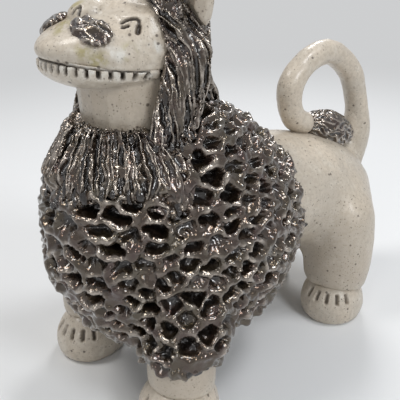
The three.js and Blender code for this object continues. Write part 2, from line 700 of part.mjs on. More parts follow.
const legs = {};
const paws = {};
for (const at of [LEFT, RIGHT]) {
  legs[at.name] = legForms(at);
  const turn = THREE.MathUtils.degToRad(TOE_TURN);
  paws[at.name] = {
    front: pawForm(at.sign * FRONT_TRACK / 2, FRONT_Y, turn),
    hind: pawForm(at.sign * HIND_TRACK / 2, HIND_Y, at.sign * turn),
  };
  for (const end of ["front", "hind"]) {
    const paw = paws[at.name][end];
    addPiece(`${end}_${at.name}_paw`, pawSolid(paw), CLAY);
    addPiece(`${end}_${at.name}_leg`, seated(legs[at.name][end], [torso, paw]), CLAY);
  }
}

// Head above the mouth plane, lower jaw and neck below it
const underMouth = mouthBlock(0, -CROWN_DEPTH);
const overMouth = mouthBlock(-SEAT_GAP, CROWN_DEPTH);
addPiece("head", formSolid(head).subtract(underMouth), CLAY);
let jawSolid = formSolid(jaw).subtract(overMouth).subtract(formSolid(neck, SEAT_GAP));

// Tooth slots run along the lip from one mouth corner round the chin to the other
const LIP_SAMPLES = 20;
const leftLip = [];
const rightLip = [];
for (let i = 0; i <= LIP_SAMPLES; i += 1) {
  const share = TOOTH_ROW_START + (1 - TOOTH_ROW_START) * (i / LIP_SAMPLES);
  leftLip.push(formPoint(jaw, 0, share, 0));
  rightLip.push(formPoint(jaw, 0, share, Math.PI));
}
const lipCurve = new THREE.CatmullRomCurve3([...leftLip, ...rightLip.slice(0, -1).reverse()]);
for (let i = 0; i < TOOTH_SLOT_COUNT; i += 1) {
  const share = (i + 0.5) / TOOTH_SLOT_COUNT;
  const place = lipCurve.getPointAt(share);
  const across = lipCurve.getTangentAt(share);
  const top = mouthHeight(place.y) + TOOTH_SLOT_WIDTH;
  const ends = [top, top - TOOTH_SLOT_WIDTH - TOOTH_SLOT_HEIGHT].map((height) => {
    return section(place.x, place.y, height, TOOTH_SLOT_WIDTH, 2 * TOOTH_SLOT_DEPTH);
  });
  const slot = clayForm(ends, { side: across, dome: 0.3, around: 5, rings: 3 });
  jawSolid = jawSolid.subtract(formSolid(slot));
}
addPiece("lower_jaw", jawSolid, CLAY);
addPiece("neck", seated(neck, [torso]).subtract(overMouth), CLAY);
addPiece("nose", seated(nose, [head]), CLAY);
for (const at of [LEFT, RIGHT]) {
  addPiece(`${at.name}_whisker_pad`, seated(padForm(at), [head, nose]), MANE_GLAZE);
}

// A punched pit, wider at its mouth than at its floor
function pitSolid(form, share, angle) {
  const outward = formNormal(form, share, angle);
  const height = PIT_DEPTH + PIT_CLEARANCE;
  const geometry = new THREE.CylinderGeometry(PIT_WIDTH / 2, PIT_FLOOR_WIDTH / 2, height, PIT_SIDES);
  geometry.applyQuaternion(new THREE.Quaternion().setFromUnitVectors(BACKWARDS, outward));
  const lift = (PIT_CLEARANCE - PIT_DEPTH) / 2;
  const middle = formPoint(form, 0, share, angle).addScaledVector(outward, lift);
  geometry.translate(middle.x, middle.y, middle.z);
  return solidOf(geometry);
}

// The solid with staggered rows of pits in one of its forms, except where a pit meets what it must miss
function punched(solid, form, rows, missed) {
  let result = solid;
  for (let row = 0; row < rows; row += 1) {
    const share = PIT_FIRST_ROW + (PIT_LAST_ROW - PIT_FIRST_ROW) * (row / (rows - 1));
    const [left, back, right, front] = [0, 1, 2, 3].map((turn) => formPoint(form, 0, share, turn * Math.PI / 2));
    const girth = Math.PI * (left.distanceTo(right) + back.distanceTo(front)) / 2;
    const count = Math.round(girth / PIT_SPACING);
    for (let i = 0; i < count; i += 1) {
      const pit = pitSolid(form, share, 2 * Math.PI * (i + (row % 2) / 2) / count);
      if (pit.intersect(missed).isEmpty()) {
        result = result.subtract(pit);
      }
    }
  }
  return result;
}

// The solid with one comb stroke along a line of points
function stroked(solid, points) {
  const line = points.map((point) => section(point.x, point.y, point.z, COMB_WIDTH, COMB_WIDTH));
  const stroke = clayForm(line, { dome: 0.15, around: COMB_SIDES, rings: points.length + 1 });
  return solid.subtract(formSolid(stroke));
}

// Ruffs are combed downwards on their outer side, the beard downwards on its front
const ruffs = [LEFT, RIGHT].map((at) => ruffForm(at));
for (const [i, at] of [LEFT, RIGHT].entries()) {
  let solid = seated(ruffs[i], [head, jaw, neck, cape]);
  for (const degrees of RUFF_COMB_ANGLES) {
    const angle = at.sign * THREE.MathUtils.degToRad(degrees);
    const points = [];
    for (let step = 0; step <= COMB_STEPS; step += 1) {
      const share = COMB_MARGIN + (1 - 2 * COMB_MARGIN) * (step / COMB_STEPS);
      points.push(formPoint(ruffs[i], 0, share, angle));
    }
    solid = stroked(solid, points);
  }
  addPiece(`${at.name}_ruff`, solid, MANE_GLAZE);
}

let beardSolid = seated(beard, [cape, neck, jaw, ...ruffs]);
for (let i = 0; i < BEARD_COMB_COUNT; i += 1) {
  const share = COMB_MARGIN + (1 - 2 * COMB_MARGIN) * (i / (BEARD_COMB_COUNT - 1));
  const points = [];
  for (let step = 0; step <= BEARD_COMB_STEPS; step += 1) {
    const sweep = BEARD_COMB_SWEEP * (step / BEARD_COMB_STEPS - 0.5);
    points.push(formPoint(beard, 0, share, Math.PI + THREE.MathUtils.degToRad(sweep)));
  }
  beardSolid = stroked(beardSolid, points);
}
addPiece("beard", beardSolid, MANE_GLAZE);

// Pitted cape, open behind where the body comes out
const rearLow = new THREE.Vector3(-CAPE_BELLY_WIDTH, FRONT_Y + CAPE_REAR_EDGE, 0);
const rearHigh = new THREE.Vector3(CAPE_BELLY_WIDTH, HIND_Y + RUMP_REACH, CAPE_TOP_HEIGHT * 2);
const underCape = [torso, neck, legs.left.front, legs.right.front, paws.left.front, paws.right.front];
const sleeves = [LEFT, RIGHT].map((at) => sleeveForm(at));
const behindCape = block(rearLow, rearHigh);
const [leftSleeve, rightSleeve] = sleeves.map((sleeve) => formSolid(sleeve));
const wholeCape = formSolid(cape);
let capeSolid = wholeCape.subtract(behindCape).add(leftSleeve).add(rightSleeve);
let missed = behindCape.translate(0, -PIT_WIDTH / 2, 0);
for (const form of underCape) {
  capeSolid = capeSolid.subtract(formSolid(form, SEAT_GAP));
  missed = missed.add(formSolid(form, PIT_WALL));
}
for (const slab of [...ruffs, beard, nape]) {
  missed = missed.add(formSolid(slab));
}
capeSolid = punched(capeSolid, cape, CAPE_PIT_ROWS, missed.add(leftSleeve).add(rightSleeve));
for (const sleeve of sleeves) {
  capeSolid = punched(capeSolid, sleeve, SLEEVE_PIT_ROWS, missed.add(wholeCape));
}
addPiece("mane_cape", capeSolid, MANE_GLAZE);

addPiece("nape_mane", seated(nape, [head, neck, torso, cape, ...ruffs]), MANE_GLAZE);
addPiece("forelock", seated(forelock, [head, nape, ...ruffs]), MANE_GLAZE);
for (const [i, at] of [LEFT, RIGHT].entries()) {
  const ear = seated(earForm(at, 0, 0), [head, nape, ruffs[i], forelock]);
  addPiece(`${at.name}_ear`, ear.subtract(formSolid(earForm(at, EAR_RIM, EAR_DEPTH / 2))), CLAY);
}

addPiece("tail", seated(tail, [torso]), CLAY);
addPiece("tail_tuft", seated(tuft, [tail, torso]), MANE_GLAZE);

// The origin is on the table, under the middle of the figure
const bounds = new THREE.Box3().setFromObject(lion);
const footprint = bounds.getCenter(new THREE.Vector3());
lion.position.set(-footprint.x, -footprint.y, -bounds.min.z);
lion.updateMatrixWorld(true);

export default lion;
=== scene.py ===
import math

import bmesh
import bpy
import numpy as np
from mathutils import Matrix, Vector, noise
from mathutils.bvhtree import BVHTree
from mathutils.kdtree import KDTree


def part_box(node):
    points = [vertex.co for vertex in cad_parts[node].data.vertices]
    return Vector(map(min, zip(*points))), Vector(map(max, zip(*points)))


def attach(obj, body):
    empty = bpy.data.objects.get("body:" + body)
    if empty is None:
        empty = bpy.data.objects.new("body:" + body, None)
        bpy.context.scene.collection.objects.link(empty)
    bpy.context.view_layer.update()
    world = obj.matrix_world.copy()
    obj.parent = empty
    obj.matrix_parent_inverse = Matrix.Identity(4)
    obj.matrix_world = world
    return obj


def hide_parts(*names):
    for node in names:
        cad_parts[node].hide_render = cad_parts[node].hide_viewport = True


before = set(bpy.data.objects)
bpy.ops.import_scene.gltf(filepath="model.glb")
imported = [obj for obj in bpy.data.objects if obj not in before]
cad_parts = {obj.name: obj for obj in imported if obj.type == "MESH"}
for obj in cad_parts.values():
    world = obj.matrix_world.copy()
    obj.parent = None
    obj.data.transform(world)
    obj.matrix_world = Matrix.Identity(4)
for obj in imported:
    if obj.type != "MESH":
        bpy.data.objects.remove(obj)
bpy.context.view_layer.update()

# Camera: the photographer's place, to the lion's left and a little above its back. Marks that were
# read off the picture are carried from its pixels onto the clay along the camera's own rays.
CAMERA_PLACE = Vector((0.1654, -0.16778, 0.1670))
CAMERA_AIM = Vector((-0.00648, -0.01886, 0.0681))
CAMERA_LENS = 50.4
CAMERA_NEAR = 0.005
PICTURE_WIDTH = 400

camera = bpy.data.objects.new("camera", bpy.data.cameras.new("camera"))
camera.data.lens = CAMERA_LENS
camera.location = CAMERA_PLACE
camera.rotation_euler = (CAMERA_AIM - CAMERA_PLACE).to_track_quat("-Z", "Y").to_euler()
camera.data.clip_start = CAMERA_NEAR
bpy.context.scene.collection.objects.link(camera)
bpy.context.scene.camera = camera


def seen_at(surface, pixel):
    """The point of a surface that the camera sees at a pixel of the picture."""
    step = camera.data.sensor_width / CAMERA_LENS / PICTURE_WIDTH
    right = (pixel[0] - PICTURE_WIDTH / 2) * step
    up = (PICTURE_WIDTH / 2 - pixel[1]) * step
    toward = camera.rotation_euler.to_matrix() @ Vector((right, up, -1))
    return surface.ray_cast(CAMERA_PLACE, toward.normalized())[0]


# Body: the hollow pot of torso and rump with the hind legs, in pale speckled stoneware under a clear
# glaze. The maker smoothed their joins and the root of the tail over with a thumb, so none shows.
BODY_FILL = 0.004
BODY_SWELL = {"torso": 0.0005, "hind_left_leg": 0.0007, "hind_right_leg": 0.0007}
BODY_GRAIN = 0.0011
BODY_STROKES = 44
HAUNCH_START = 0.012
HAUNCH_SWELL = 0.0004
TAIL_ROOT_FRONT = 0.070
TAIL_ROOT_TOP = 0.098
MERGE = 1e-6
THUMB_PRESS = 0.5
HAND_DENT_SIZE = 0.014
HAND_DENT_DEPTH = 0.0009
CLAY_GREY = (0.51, 0.455, 0.38, 1)
CLAY_WARM = (0.58, 0.505, 0.41, 1)
CLAY_MILKY = (0.63, 0.58, 0.50, 1)
# CLAY_SHADE colours both the random darker patches and the painted shade.
CLAY_SHADE = (0.42, 0.355, 0.28, 1)
# White for the lip, partly whiter glaze and partly painted highlight, and for painted highlights on
# the cheek.
WHITE_GLAZE_AND_GLINT = (0.70, 0.68, 0.63, 1)
CLAY_PATCHES = (45.0, 3.0, 0.36, 0.62)
MILKY_PATCHES = (160.0, 4.0, 0.50, 0.70)
MILKY_SHARE = 0.6
SHADE_PATCHES = (620.0, 3.0, 0.40, 0.66)
SHADE_SHARE = 0.5
# Painted shade on the legs: a darker band from just above the paws up the legs.
LEG_SHADE_FOOT = 0.016
LEG_SHADE_EDGE = 0.008
LEG_SHADE_TOP = 0.090
PAINTED_SHADE_SHARE = 0.65
WHITE_AND_GLINT_PATCHES = (330.0, 3.0, 0.40, 0.60)
WHITE_AND_GLINT_SHARES = (0.1, 0.8)
POOL_PATCHES = (260.0, 3.0, 0.42, 0.58)
SPECK_BROWN = (0.060, 0.042, 0.030, 1)
SPECK_SIZES = ((430.0, 0.62, 0.28, 0.8), (800.0, 0.50, 0.28, 0.65), (1500.0, 0.25, 0.32, 0.5))
SPECK_EDGE = (0.6, 1.2)
SPECK_LEAST = 0.001
CUT_BROWN = (0.035, 0.022, 0.013, 1)
POOL_OLIVE = (0.36, 0.31, 0.16, 1)
CLAY_ROUGHNESS = (0.30, 0.50)
CLAY_BUMP = {"Strength": 0.5, "Distance": 0.0004}
CLAY_COAT = 0.25
CLAY_COAT_ROUGHNESS = 0.16


class Wire:
    """One output of a node. Sums on wires add Math nodes to their tree."""

    def __init__(self, tree, socket):
        self.tree = tree
        self.socket = socket

    def node(self, kind, settings, sockets, output=0):
        """A node of that type, with its settings first and then values or wires on its sockets."""
        made = self.tree.nodes.new(kind)
        for key, value in settings.items():
            setattr(made, key, value)
        for key, value in sockets.items():
            socket = made.inputs[key]
            if isinstance(key, str) and not socket.enabled:
                socket = next(s for s in made.inputs if s.enabled and s.name == key)
            if isinstance(value, Wire):
                self.tree.links.new(value.socket, socket)
            else:
                socket.default_value = value
        return Wire(self.tree, made.outputs[output])

    def other(self, output):
        return Wire(self.tree, self.socket.node.outputs[output])

    def maths(self, operation, first, second=0.0):
        parts = (first, second)
        wires = [part for part in parts if isinstance(part, Wire)]
        if not any(part.socket.type == "VECTOR" for part in wires):
            return self.node("ShaderNodeMath", {"operation": operation}, {0: first, 1: second})
        plain = isinstance(second, (int, float))
        if operation == "MULTIPLY" and (plain or second.socket.type != "VECTOR"):
            settings = {"operation": "SCALE"}
            return self.node("ShaderNodeVectorMath", settings, {0: first, "Scale": second})
        return self.node("ShaderNodeVectorMath", {"operation": operation}, {0: first, 1: second})

    def __add__(self, other):
        return self.maths("ADD", self, other)

    def __sub__(self, other):
        return self.maths("SUBTRACT", self, other)

    def __rsub__(self, other):
        return self.maths("SUBTRACT", other, self)

    def __mul__(self, other):
        return self.maths("MULTIPLY", self, other)

    def __truediv__(self, other):
        return self.maths("DIVIDE", self, other)

    def dot(self, other):
        settings = {"operation": "DOT_PRODUCT"}
        return self.node("ShaderNodeVectorMath", settings, {0: self, 1: other}, "Value")

    def ramp(self, low, high):
        """0 at low, 1 at high, with a soft step between them."""
        settings = {"interpolation_type": "SMOOTHSTEP"}
        sockets = {"Value": self, "From Min": low, "From Max": high}
        return self.node("ShaderNodeMapRange", settings, sockets)

    def between(self, low, high):
        """The number low where this is 0 and high where it is 1."""
        return self * (high - low) + low

    def mix(self, low, high):
        """The colour low where this is 0 and high where it is 1."""
        sockets = {"Factor": self, "A": low, "B": high}
        return self.node("ShaderNodeMix", {"data_type": "RGBA"}, sockets, 2)

    def noise(self, scale, detail):
        sockets = {"Vector": self, "Scale": scale, "Detail": detail}
        return self.node("ShaderNodeTexNoise", {}, sockets)

    def patches(self, scale, detail, low, high):
        """Soft-edged patches of noise, 0 outside them and 1 inside."""
        return self.noise(scale, detail).ramp(low, high)


def lump_mesh(name, swells, fill=0.0):
    """One mesh of merged copies of the solids, each pushed out by its swell and by the fill."""
    mesh = bpy.data.meshes.new(name)
    joined = bmesh.new()
    for node, swell in swells.items():
        lump = bmesh.new()
        lump.from_mesh(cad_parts[node].data)
        bmesh.ops.remove_doubles(lump, verts=lump.verts, dist=MERGE)
        lump.normal_update()
        for vertex in lump.verts:
            vertex.co += vertex.normal * (swell + fill)
        lump.to_mesh(mesh)
        lump.free()
        joined.from_mesh(mesh)
    joined.to_mesh(mesh)
    joined.free()
    return mesh


def hull_of(name, *clouds, swell=0.0):
    """The convex hull of some clouds of points, pushed out by the swell."""
    hull = bmesh.new()
    for cloud in clouds:
        for point in cloud:
            hull.verts.new(point)
    bmesh.ops.convex_hull(hull, input=hull.verts)
    loose = [vertex for vertex in hull.verts if not vertex.link_faces]
    bmesh.ops.delete(hull, geom=loose, context="VERTS")
    hull.normal_update()
    for vertex in hull.verts:
        vertex.co += vertex.normal * swell
    mesh = bpy.data.meshes.new(name)
    hull.to_mesh(mesh)
    hull.free()
    return mesh


def part_of(node, keep):
    """Those points of a solid that pass the test."""
    return [vertex.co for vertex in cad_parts[node].data.vertices if keep(vertex.co)]


def join_meshes(name, meshes):
    joined = bmesh.new()
    for mesh in meshes:
        joined.from_mesh(mesh)
    mesh = bpy.data.meshes.new(name)
    joined.to_mesh(mesh)
    joined.free()
    return mesh


def add_piece(name, mesh):
    piece = bpy.data.objects.new(name, mesh)
    bpy.context.scene.collection.objects.link(piece)
    return piece


def bake(piece):
    """Turns what the modifiers make into the piece's own plain mesh."""
    shape = piece.evaluated_get(bpy.context.evaluated_depsgraph_get())
    mesh = bpy.data.meshes.new_from_object(shape)
    piece.modifiers.clear()
    piece.data = mesh
    mesh.shade_smooth()


def smooth_lump(piece, grain, strokes, dent=0.0, fill=0.0):
    """Gives the piece one skin of small even faces, strokes it smooth and leaves hand dents.

    A fill draws the skin back in by as much as the lump was swollen to close the cuts in it.
    """
    skin = piece.modifiers.new("skin", "REMESH")
    skin.mode = "VOXEL"
    skin.voxel_size = grain
    if fill:
        draw = piece.modifiers.new("draw_in", "DISPLACE")
        draw.mid_level = 0.0
        draw.strength = -fill
        second = piece.modifiers.new("second_skin", "REMESH")
        second.mode = "VOXEL"
        second.voxel_size = grain
    thumb = piece.modifiers.new("thumb", "SMOOTH")
    thumb.factor = THUMB_PRESS
    thumb.iterations = strokes
    if dent:
        dents = bpy.data.textures.new("hand_dents", "CLOUDS")
        dents.noise_scale = HAND_DENT_SIZE
        hand = piece.modifiers.new("hand", "DISPLACE")
        hand.texture = dents
        hand.texture_coords = "LOCAL"
        hand.strength = dent
    bake(piece)


def finish_piece(piece, nodes):
    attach(piece, "root")
    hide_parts(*nodes)


def clay_finish():
    clay = bpy.data.materials.new("speckled_clay")
    clay.use_nodes = True
    tree = clay.node_tree
    shader = tree.nodes["Principled BSDF"]
    place = Wire(tree, tree.nodes.new("ShaderNodeTexCoord").outputs["Object"])

    def mark(name):
        return place.node("ShaderNodeAttribute", {"attribute_name": name}, {}, "Fac")

    colour = place.patches(*CLAY_PATCHES).mix(CLAY_GREY, CLAY_WARM)
    colour = (place.patches(*MILKY_PATCHES) * MILKY_SHARE).mix(colour, CLAY_MILKY)
    colour = (place.patches(*SHADE_PATCHES) * SHADE_SHARE).mix(colour, CLAY_SHADE)
    height = place.dot((0, 0, 1))
    # Painted shade: the legs are darker in a band from just above the paws upward, where less light
    # reaches them.
    leg = height.ramp(LEG_SHADE_FOOT, LEG_SHADE_FOOT + LEG_SHADE_EDGE)
    leg = leg * (1 - height.ramp(LEG_SHADE_FOOT, LEG_SHADE_TOP))
    # The painted shade mask joins this leg band with the painted shade stored under the jaw and on the
    # front of the ears.
    painted_shade_mask = leg.maths("MAXIMUM", leg, mark("painted_shade"))
    colour = (painted_shade_mask * PAINTED_SHADE_SHARE).mix(colour, CLAY_SHADE)
    # Whiter glaze along the lip, with painted highlights there and on the cheek.
    white_glaze_and_glint = mark("white_glaze_and_glint") * place.patches(*WHITE_AND_GLINT_PATCHES).between(*WHITE_AND_GLINT_SHARES)
    colour = white_glaze_and_glint.mix(colour, WHITE_GLAZE_AND_GLINT)
    pooled = mark("pool") * place.patches(*POOL_PATCHES)
    colour = pooled.mix(colour, POOL_OLIVE)
    specks = mark("cut")
    for scale, rarest, size, darkness in SPECK_SIZES:
        cell = place.node("ShaderNodeTexVoronoi", {"feature": "F1"}, {"Vector": place, "Scale": scale})
        chance = cell.node("ShaderNodeSeparateColor", {}, {"Color": cell.other("Color")})
        radius = chance.ramp(rarest, 1.0) * size
        inner, outer = (radius * share for share in SPECK_EDGE)
        speck = (1 - cell.ramp(inner, outer + SPECK_LEAST)) * darkness
        specks = specks.maths("MAXIMUM", specks, speck)
    colour = specks.mix(colour, SPECK_BROWN)
    # Carved lines, slots and the mouth line are darkened: partly dark glaze in them, partly painted
    # shade in the recess.
    colour = mark("cut").mix(colour, CUT_BROWN)
    tree.links.new(colour.socket, shader.inputs["Base Color"])
    rough = place.noise(120.0, 3.0).between(*CLAY_ROUGHNESS)
    tree.links.new(rough.socket, shader.inputs["Roughness"])
    skin = place.noise(420.0, 3.0) + place.noise(1500.0, 2.0) * 0.4 - specks * 0.3
    grain = place.node("ShaderNodeBump", {}, {**CLAY_BUMP, "Height": skin})
    tree.links.new(grain.socket, shader.inputs["Normal"])
    shader.inputs["Coat Weight"].default_value = CLAY_COAT
    shader.inputs["Coat Roughness"].default_value = CLAY_COAT_ROUGHNESS
    return clay


def haunch(leg, side):
    """The clay that was smoothed across from the rump to the thigh."""
    low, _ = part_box(leg)
    thigh = part_of(leg, lambda at: at.z > low[2] + HAUNCH_START)
    rump = part_of("torso", lambda at: at.x * side > 0 and at.y > low[1])
    return hull_of(leg + "_haunch", thigh, rump, swell=BODY_FILL + HAUNCH_SWELL)


speckled_clay = clay_finish()
tail_root = part_of("tail", lambda at: at.y > TAIL_ROOT_FRONT and at.z < TAIL_ROOT_TOP)
lumps = [
    lump_mesh("body_lump", BODY_SWELL, BODY_FILL),
    hull_of("tail_root", tail_root, swell=BODY_FILL),
    haunch("hind_left_leg", 1),
    haunch("hind_right_leg", -1),
]
body = add_piece("body", join_meshes("body", lumps))
smooth_lump(body, BODY_GRAIN, BODY_STROKES, HAND_DENT_DEPTH, BODY_FILL)
body.data.materials.append(speckled_clay)
finish_piece(body, BODY_SWELL)

# Tail: a rolled coil of the same clay that rises from the rump, loops over and lies with its end on
# the back. It is pressed a little wider at the shoulders of the loop, so that its arch is round.
TAIL_SWELL = 0.0006
TAIL_GRAIN = 0.0008
TAIL_STROKES = 44
TAIL_ARCH = 0.06
TAIL_ARCH_FOOT = 0.104


def points_of(mesh):
    flat = np.empty(len(mesh.vertices) * 3)
    mesh.vertices.foreach_get("co", flat)
    return flat.reshape(-1, 3)


def move_points(piece, points):
    piece.data.vertices.foreach_set("co", points.ravel())
    piece.data.update()


tail = add_piece("tail", lump_mesh("tail", {"tail": TAIL_SWELL}))
smooth_lump(tail, TAIL_GRAIN, TAIL_STROKES, HAND_DENT_DEPTH)
points = points_of(tail.data)
tail_low, tail_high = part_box("tail")
middle = (tail_low[1] + tail_high[1]) / 2
share = np.clip((points[:, 2] - TAIL_ARCH_FOOT) / (tail_high[2] - TAIL_ARCH_FOOT), 0, 1)
points[:, 1] = middle + (points[:, 1] - middle) * (1 + TAIL_ARCH * np.sin(math.pi * share) ** 2)
move_points(tail, points)
tail.data.materials.append(speckled_clay)
finish_piece(tail, ["tail"])

# Paws: balls of the same clay pressed flat on the table, with toes marked by pushing the end of a
# thin stick into the front of each. The slots are painted dark, partly as dark glaze and partly as
# painted shade.
PAW_SWELL = 0.0004
PAW_GRAIN = 0.0006
PAW_STROKES = 50
TOE_TURN = math.radians(25)
TOE_SPREAD = math.radians(78)
TOE_COUNT = 5
TOE_SLOT_TOP = 0.0160
TOE_SLOT_FOOT = 0.0126
TOE_SLOT_WIDTH = 0.0009
TOE_SLOT_DEPTH = 0.0022
TOE_STAIN_AND_SHADE = 0.5
PRESS_ROUND = 0.7
BURR_PLACE = 1.35
BURR_WIDTH = 0.3
BURR_HEIGHT = 0.08
STAIN_AND_SHADE_REACH = 1.2
SHORTEST_STROKE = 1e-12
RAY_START = 0.08
PAW_TURNS = {
    "front_left_paw": TOE_TURN,
    "front_right_paw": TOE_TURN,
    "hind_left_paw": TOE_TURN,
    "hind_right_paw": -TOE_TURN,
}


def surface_of(piece):
    """The faces of a piece, ready to be met by rays."""
    points = [vertex.co.copy() for vertex in piece.data.vertices]
    faces = [list(face.vertices) for face in piece.data.polygons]
    return BVHTree.FromPolygons(points, faces)


def outermost(surface, middle, direction):
    """Where a ray that comes in towards the middle first meets the surface."""
    toward = Vector(direction).normalized()
    start = Vector(middle) + toward * RAY_START
    return surface.ray_cast(start, -toward)[0]


def normals_of(mesh):
    flat = np.empty(len(mesh.vertices) * 3)
    mesh.vertex_normals.foreach_get("vector", flat)
    return flat.reshape(-1, 3)


def store(mesh, name, values):
    layer = mesh.attributes.get(name) or mesh.attributes.new(name, "FLOAT", "POINT")
    layer.data.foreach_set("value", np.asarray(values, dtype=np.float32))


def stroke_distance(points, line):
    """Distance from each point to a line of joined straight strokes."""
    nearest = np.full(len(points), np.inf)
    line = np.asarray(line, dtype=float)
    for start, end in zip(line[:-1], line[1:]):
        along = end - start
        share = ((points - start) @ along) / max(along @ along, SHORTEST_STROKE)
        foot = start + np.clip(share, 0, 1)[:, None] * along
        nearest = np.minimum(nearest, np.linalg.norm(points - foot, axis=1))
    return nearest


def carve(piece, strokes, stain_and_shade=1.0):
    """Presses strokes into the clay. Each has a line, a half width and a depth."""
    mesh = piece.data
    points = points_of(mesh)
    inward = -normals_of(mesh)
    depth = np.zeros(len(points))
    dark = np.zeros(len(points))
    for line, width, deep in strokes:
        away = stroke_distance(points, line) / width
        press = np.clip(1 - away**2, 0, 1)
        burr = np.exp(-(((away - BURR_PLACE) / BURR_WIDTH) ** 2))
        depth = np.maximum(depth, deep * press**PRESS_ROUND) - BURR_HEIGHT * deep * burr
        # The darkening round each stroke is partly dark glaze and partly painted shade in the cut.
        dark = np.maximum(dark, np.clip(STAIN_AND_SHADE_REACH - away, 0, 1))
    store(mesh, "cut", stain_and_shade * np.clip(dark, 0, 1))
    move_points(piece, points + inward * depth[:, None])


for name, turn in PAW_TURNS.items():
    paw = add_piece(name, lump_mesh(name, {name: PAW_SWELL}))
    smooth_lump(paw, PAW_GRAIN, PAW_STROKES, HAND_DENT_DEPTH)
    points = points_of(paw.data)
    points[:, 2] = np.maximum(points[:, 2], 0)
    move_points(paw, points)
    low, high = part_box(name)
    skin = surface_of(paw)
    slots = []
    for i in range(TOE_COUNT):
        facing = turn + TOE_SPREAD * (i / (TOE_COUNT - 1) - 0.5)
        ahead = (math.sin(facing), -math.cos(facing), 0)
        ends = []
        for height in (TOE_SLOT_TOP, (TOE_SLOT_TOP + TOE_SLOT_FOOT) / 2, TOE_SLOT_FOOT):
            middle = ((low[0] + high[0]) / 2, (low[1] + high[1]) / 2, height)
            ends.append(outermost(skin, middle, ahead))
        slots.append((ends, TOE_SLOT_WIDTH, TOE_SLOT_DEPTH))
    carve(paw, slots, TOE_STAIN_AND_SHADE)
    paw.data.materials.append(speckled_clay)
    finish_piece(paw, [name])

# Front legs: short thick coils that come down out of the mane onto the paws, smoothed by hand. They
# are slimmer inside the mane, where the clay was scraped down for it.
LEG_SWELL = 0.0005
LEG_GRAIN = 0.0010
LEG_STROKES = 30
LEG_TAPER = 0.45
LEG_TAPER_RUN = 0.012
CUFF_TUCK = 0.002
cape_low, cape_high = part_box("mane_cape")
cuff_height = cape_low[2] + CUFF_TUCK
for name in ("front_left_leg", "front_right_leg"):
    leg = add_piece(name, lump_mesh(name, {name: LEG_SWELL}))
    smooth_lump(leg, LEG_GRAIN, LEG_STROKES, HAND_DENT_DEPTH)
    points = points_of(leg.data)
    middle = (points.min(0) + points.max(0)) / 2
    slim = 1 - LEG_TAPER * np.clip((points[:, 2] - cuff_height) / LEG_TAPER_RUN, 0, 1)
    points[:, :2] = middle[:2] + (points[:, :2] - middle[:2]) * slim[:, None]
    move_points(leg, points)
    leg.data.materials.append(speckled_clay)
    finish_piece(leg, [name])

# Throat: the pillar of the neck with the lower jaw luted onto it and the join filled out with a
# finger. A row of slots pressed into the rim of the lip leaves the teeth standing between them,
# under a whiter glaze with painted highlights along the lip. The neck under the jaw is painted
# darker as shade.
THROAT_FILL = 0.0009
THROAT_SWELL = {"neck": -0.0020, "lower_jaw": 0.0009}
THROAT_GRAIN = 0.00042
THROAT_STROKES = 16
TOOTH_FAN = math.radians(125)
TOOTH_SAMPLES = 160
TOOTH_SPACING = 0.0037
TOOTH_FRONT_SPACING = 0.0030
TOOTH_SLOT_TOP = 0.0005
TOOTH_SLOT_HEIGHT = 0.0023
TOOTH_SLOT_WIDTH = 0.00072
TOOTH_SLOT_DEPTH = 0.0024
LIP_WHITE_AND_GLINT_REACH = 0.0042
MOUTH_WIDTH = 0.0006
MOUTH_DEPTH = 0.0012
THROAT_SHADE_LOW = 0.112
THROAT_SHADE_TOP = 0.1265
JAW_MIDDLE = 0.45
RIM_INSET = 0.93
RIM_WINDOW = 6
TOOTH_WIDEN = 3
SPOT_CORE = 1.3
throat = add_piece("throat", lump_mesh("throat", THROAT_SWELL, THROAT_FILL))
smooth_lump(throat, THROAT_GRAIN, THROAT_STROKES, 0.0, THROAT_FILL)
throat_skin = surface_of(throat)
jaw_skin = surface_of(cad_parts["lower_jaw"])
jaw_low, jaw_high = (Vector(corner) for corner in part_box("lower_jaw"))
jaw_depth = jaw_high.y - jaw_low.y
jaw_middle = Vector((0, jaw_low.y + JAW_MIDDLE * jaw_depth, (jaw_low.z + jaw_high.z) / 2))


def rim_height(point):
    """Height of the jaw's cut rim beside a point of its outside."""
    inside = jaw_middle.lerp(point, RIM_INSET)
    above = Vector((inside.x, inside.y, jaw_high.z + RAY_START))
    top = jaw_skin.ray_cast(above, Vector((0, 0, -1)))[0]
    return top.z if top else None


outside = []
for i in range(TOOTH_SAMPLES + 1):
    fan = TOOTH_FAN * (2 * i / TOOTH_SAMPLES - 1)
    way = Vector((math.sin(fan), -math.cos(fan), 0))
    point = outermost(throat_skin, jaw_middle, way)
    height = rim_height(point)
    if height:
        outside.append((way, point, height))

rim = []
for i, (way, point, height) in enumerate(outside):
    close = outside[max(0, i - RIM_WINDOW) : i + RIM_WINDOW + 1]
    rim.append(Vector((point.x, point.y, max(height for _, _, height in close))))

teeth = []
walked = 0.0
for before, here, (way, _, _) in zip(rim[:-1], rim[1:], outside[1:]):
    walked += math.hypot(here.x - before.x, here.y - before.y)
    share = min(1, TOOTH_WIDEN * (here.y - jaw_low.y) / jaw_depth)
    spacing = TOOTH_FRONT_SPACING + (TOOTH_SPACING - TOOTH_FRONT_SPACING) * share
    if walked > spacing:
        walked = 0.0
        heights = [here.z - TOOTH_SLOT_TOP - TOOTH_SLOT_HEIGHT * step for step in (0, 0.5, 1)]
        ends = [outermost(throat_skin, Vector((0, jaw_middle.y, height)), way) for height in heights]
        teeth.append(([end for end in ends if end], TOOTH_SLOT_WIDTH, TOOTH_SLOT_DEPTH))
# The carve darkens the tooth slots and the mouth line, partly as painted shadow under the upper lip.
carve(throat, teeth + [(rim, MOUTH_WIDTH, MOUTH_DEPTH)])


def soft_step(values, low, high):
    share = np.clip((values - low) / (high - low), 0, 1)
    return share * share * (3 - 2 * share)


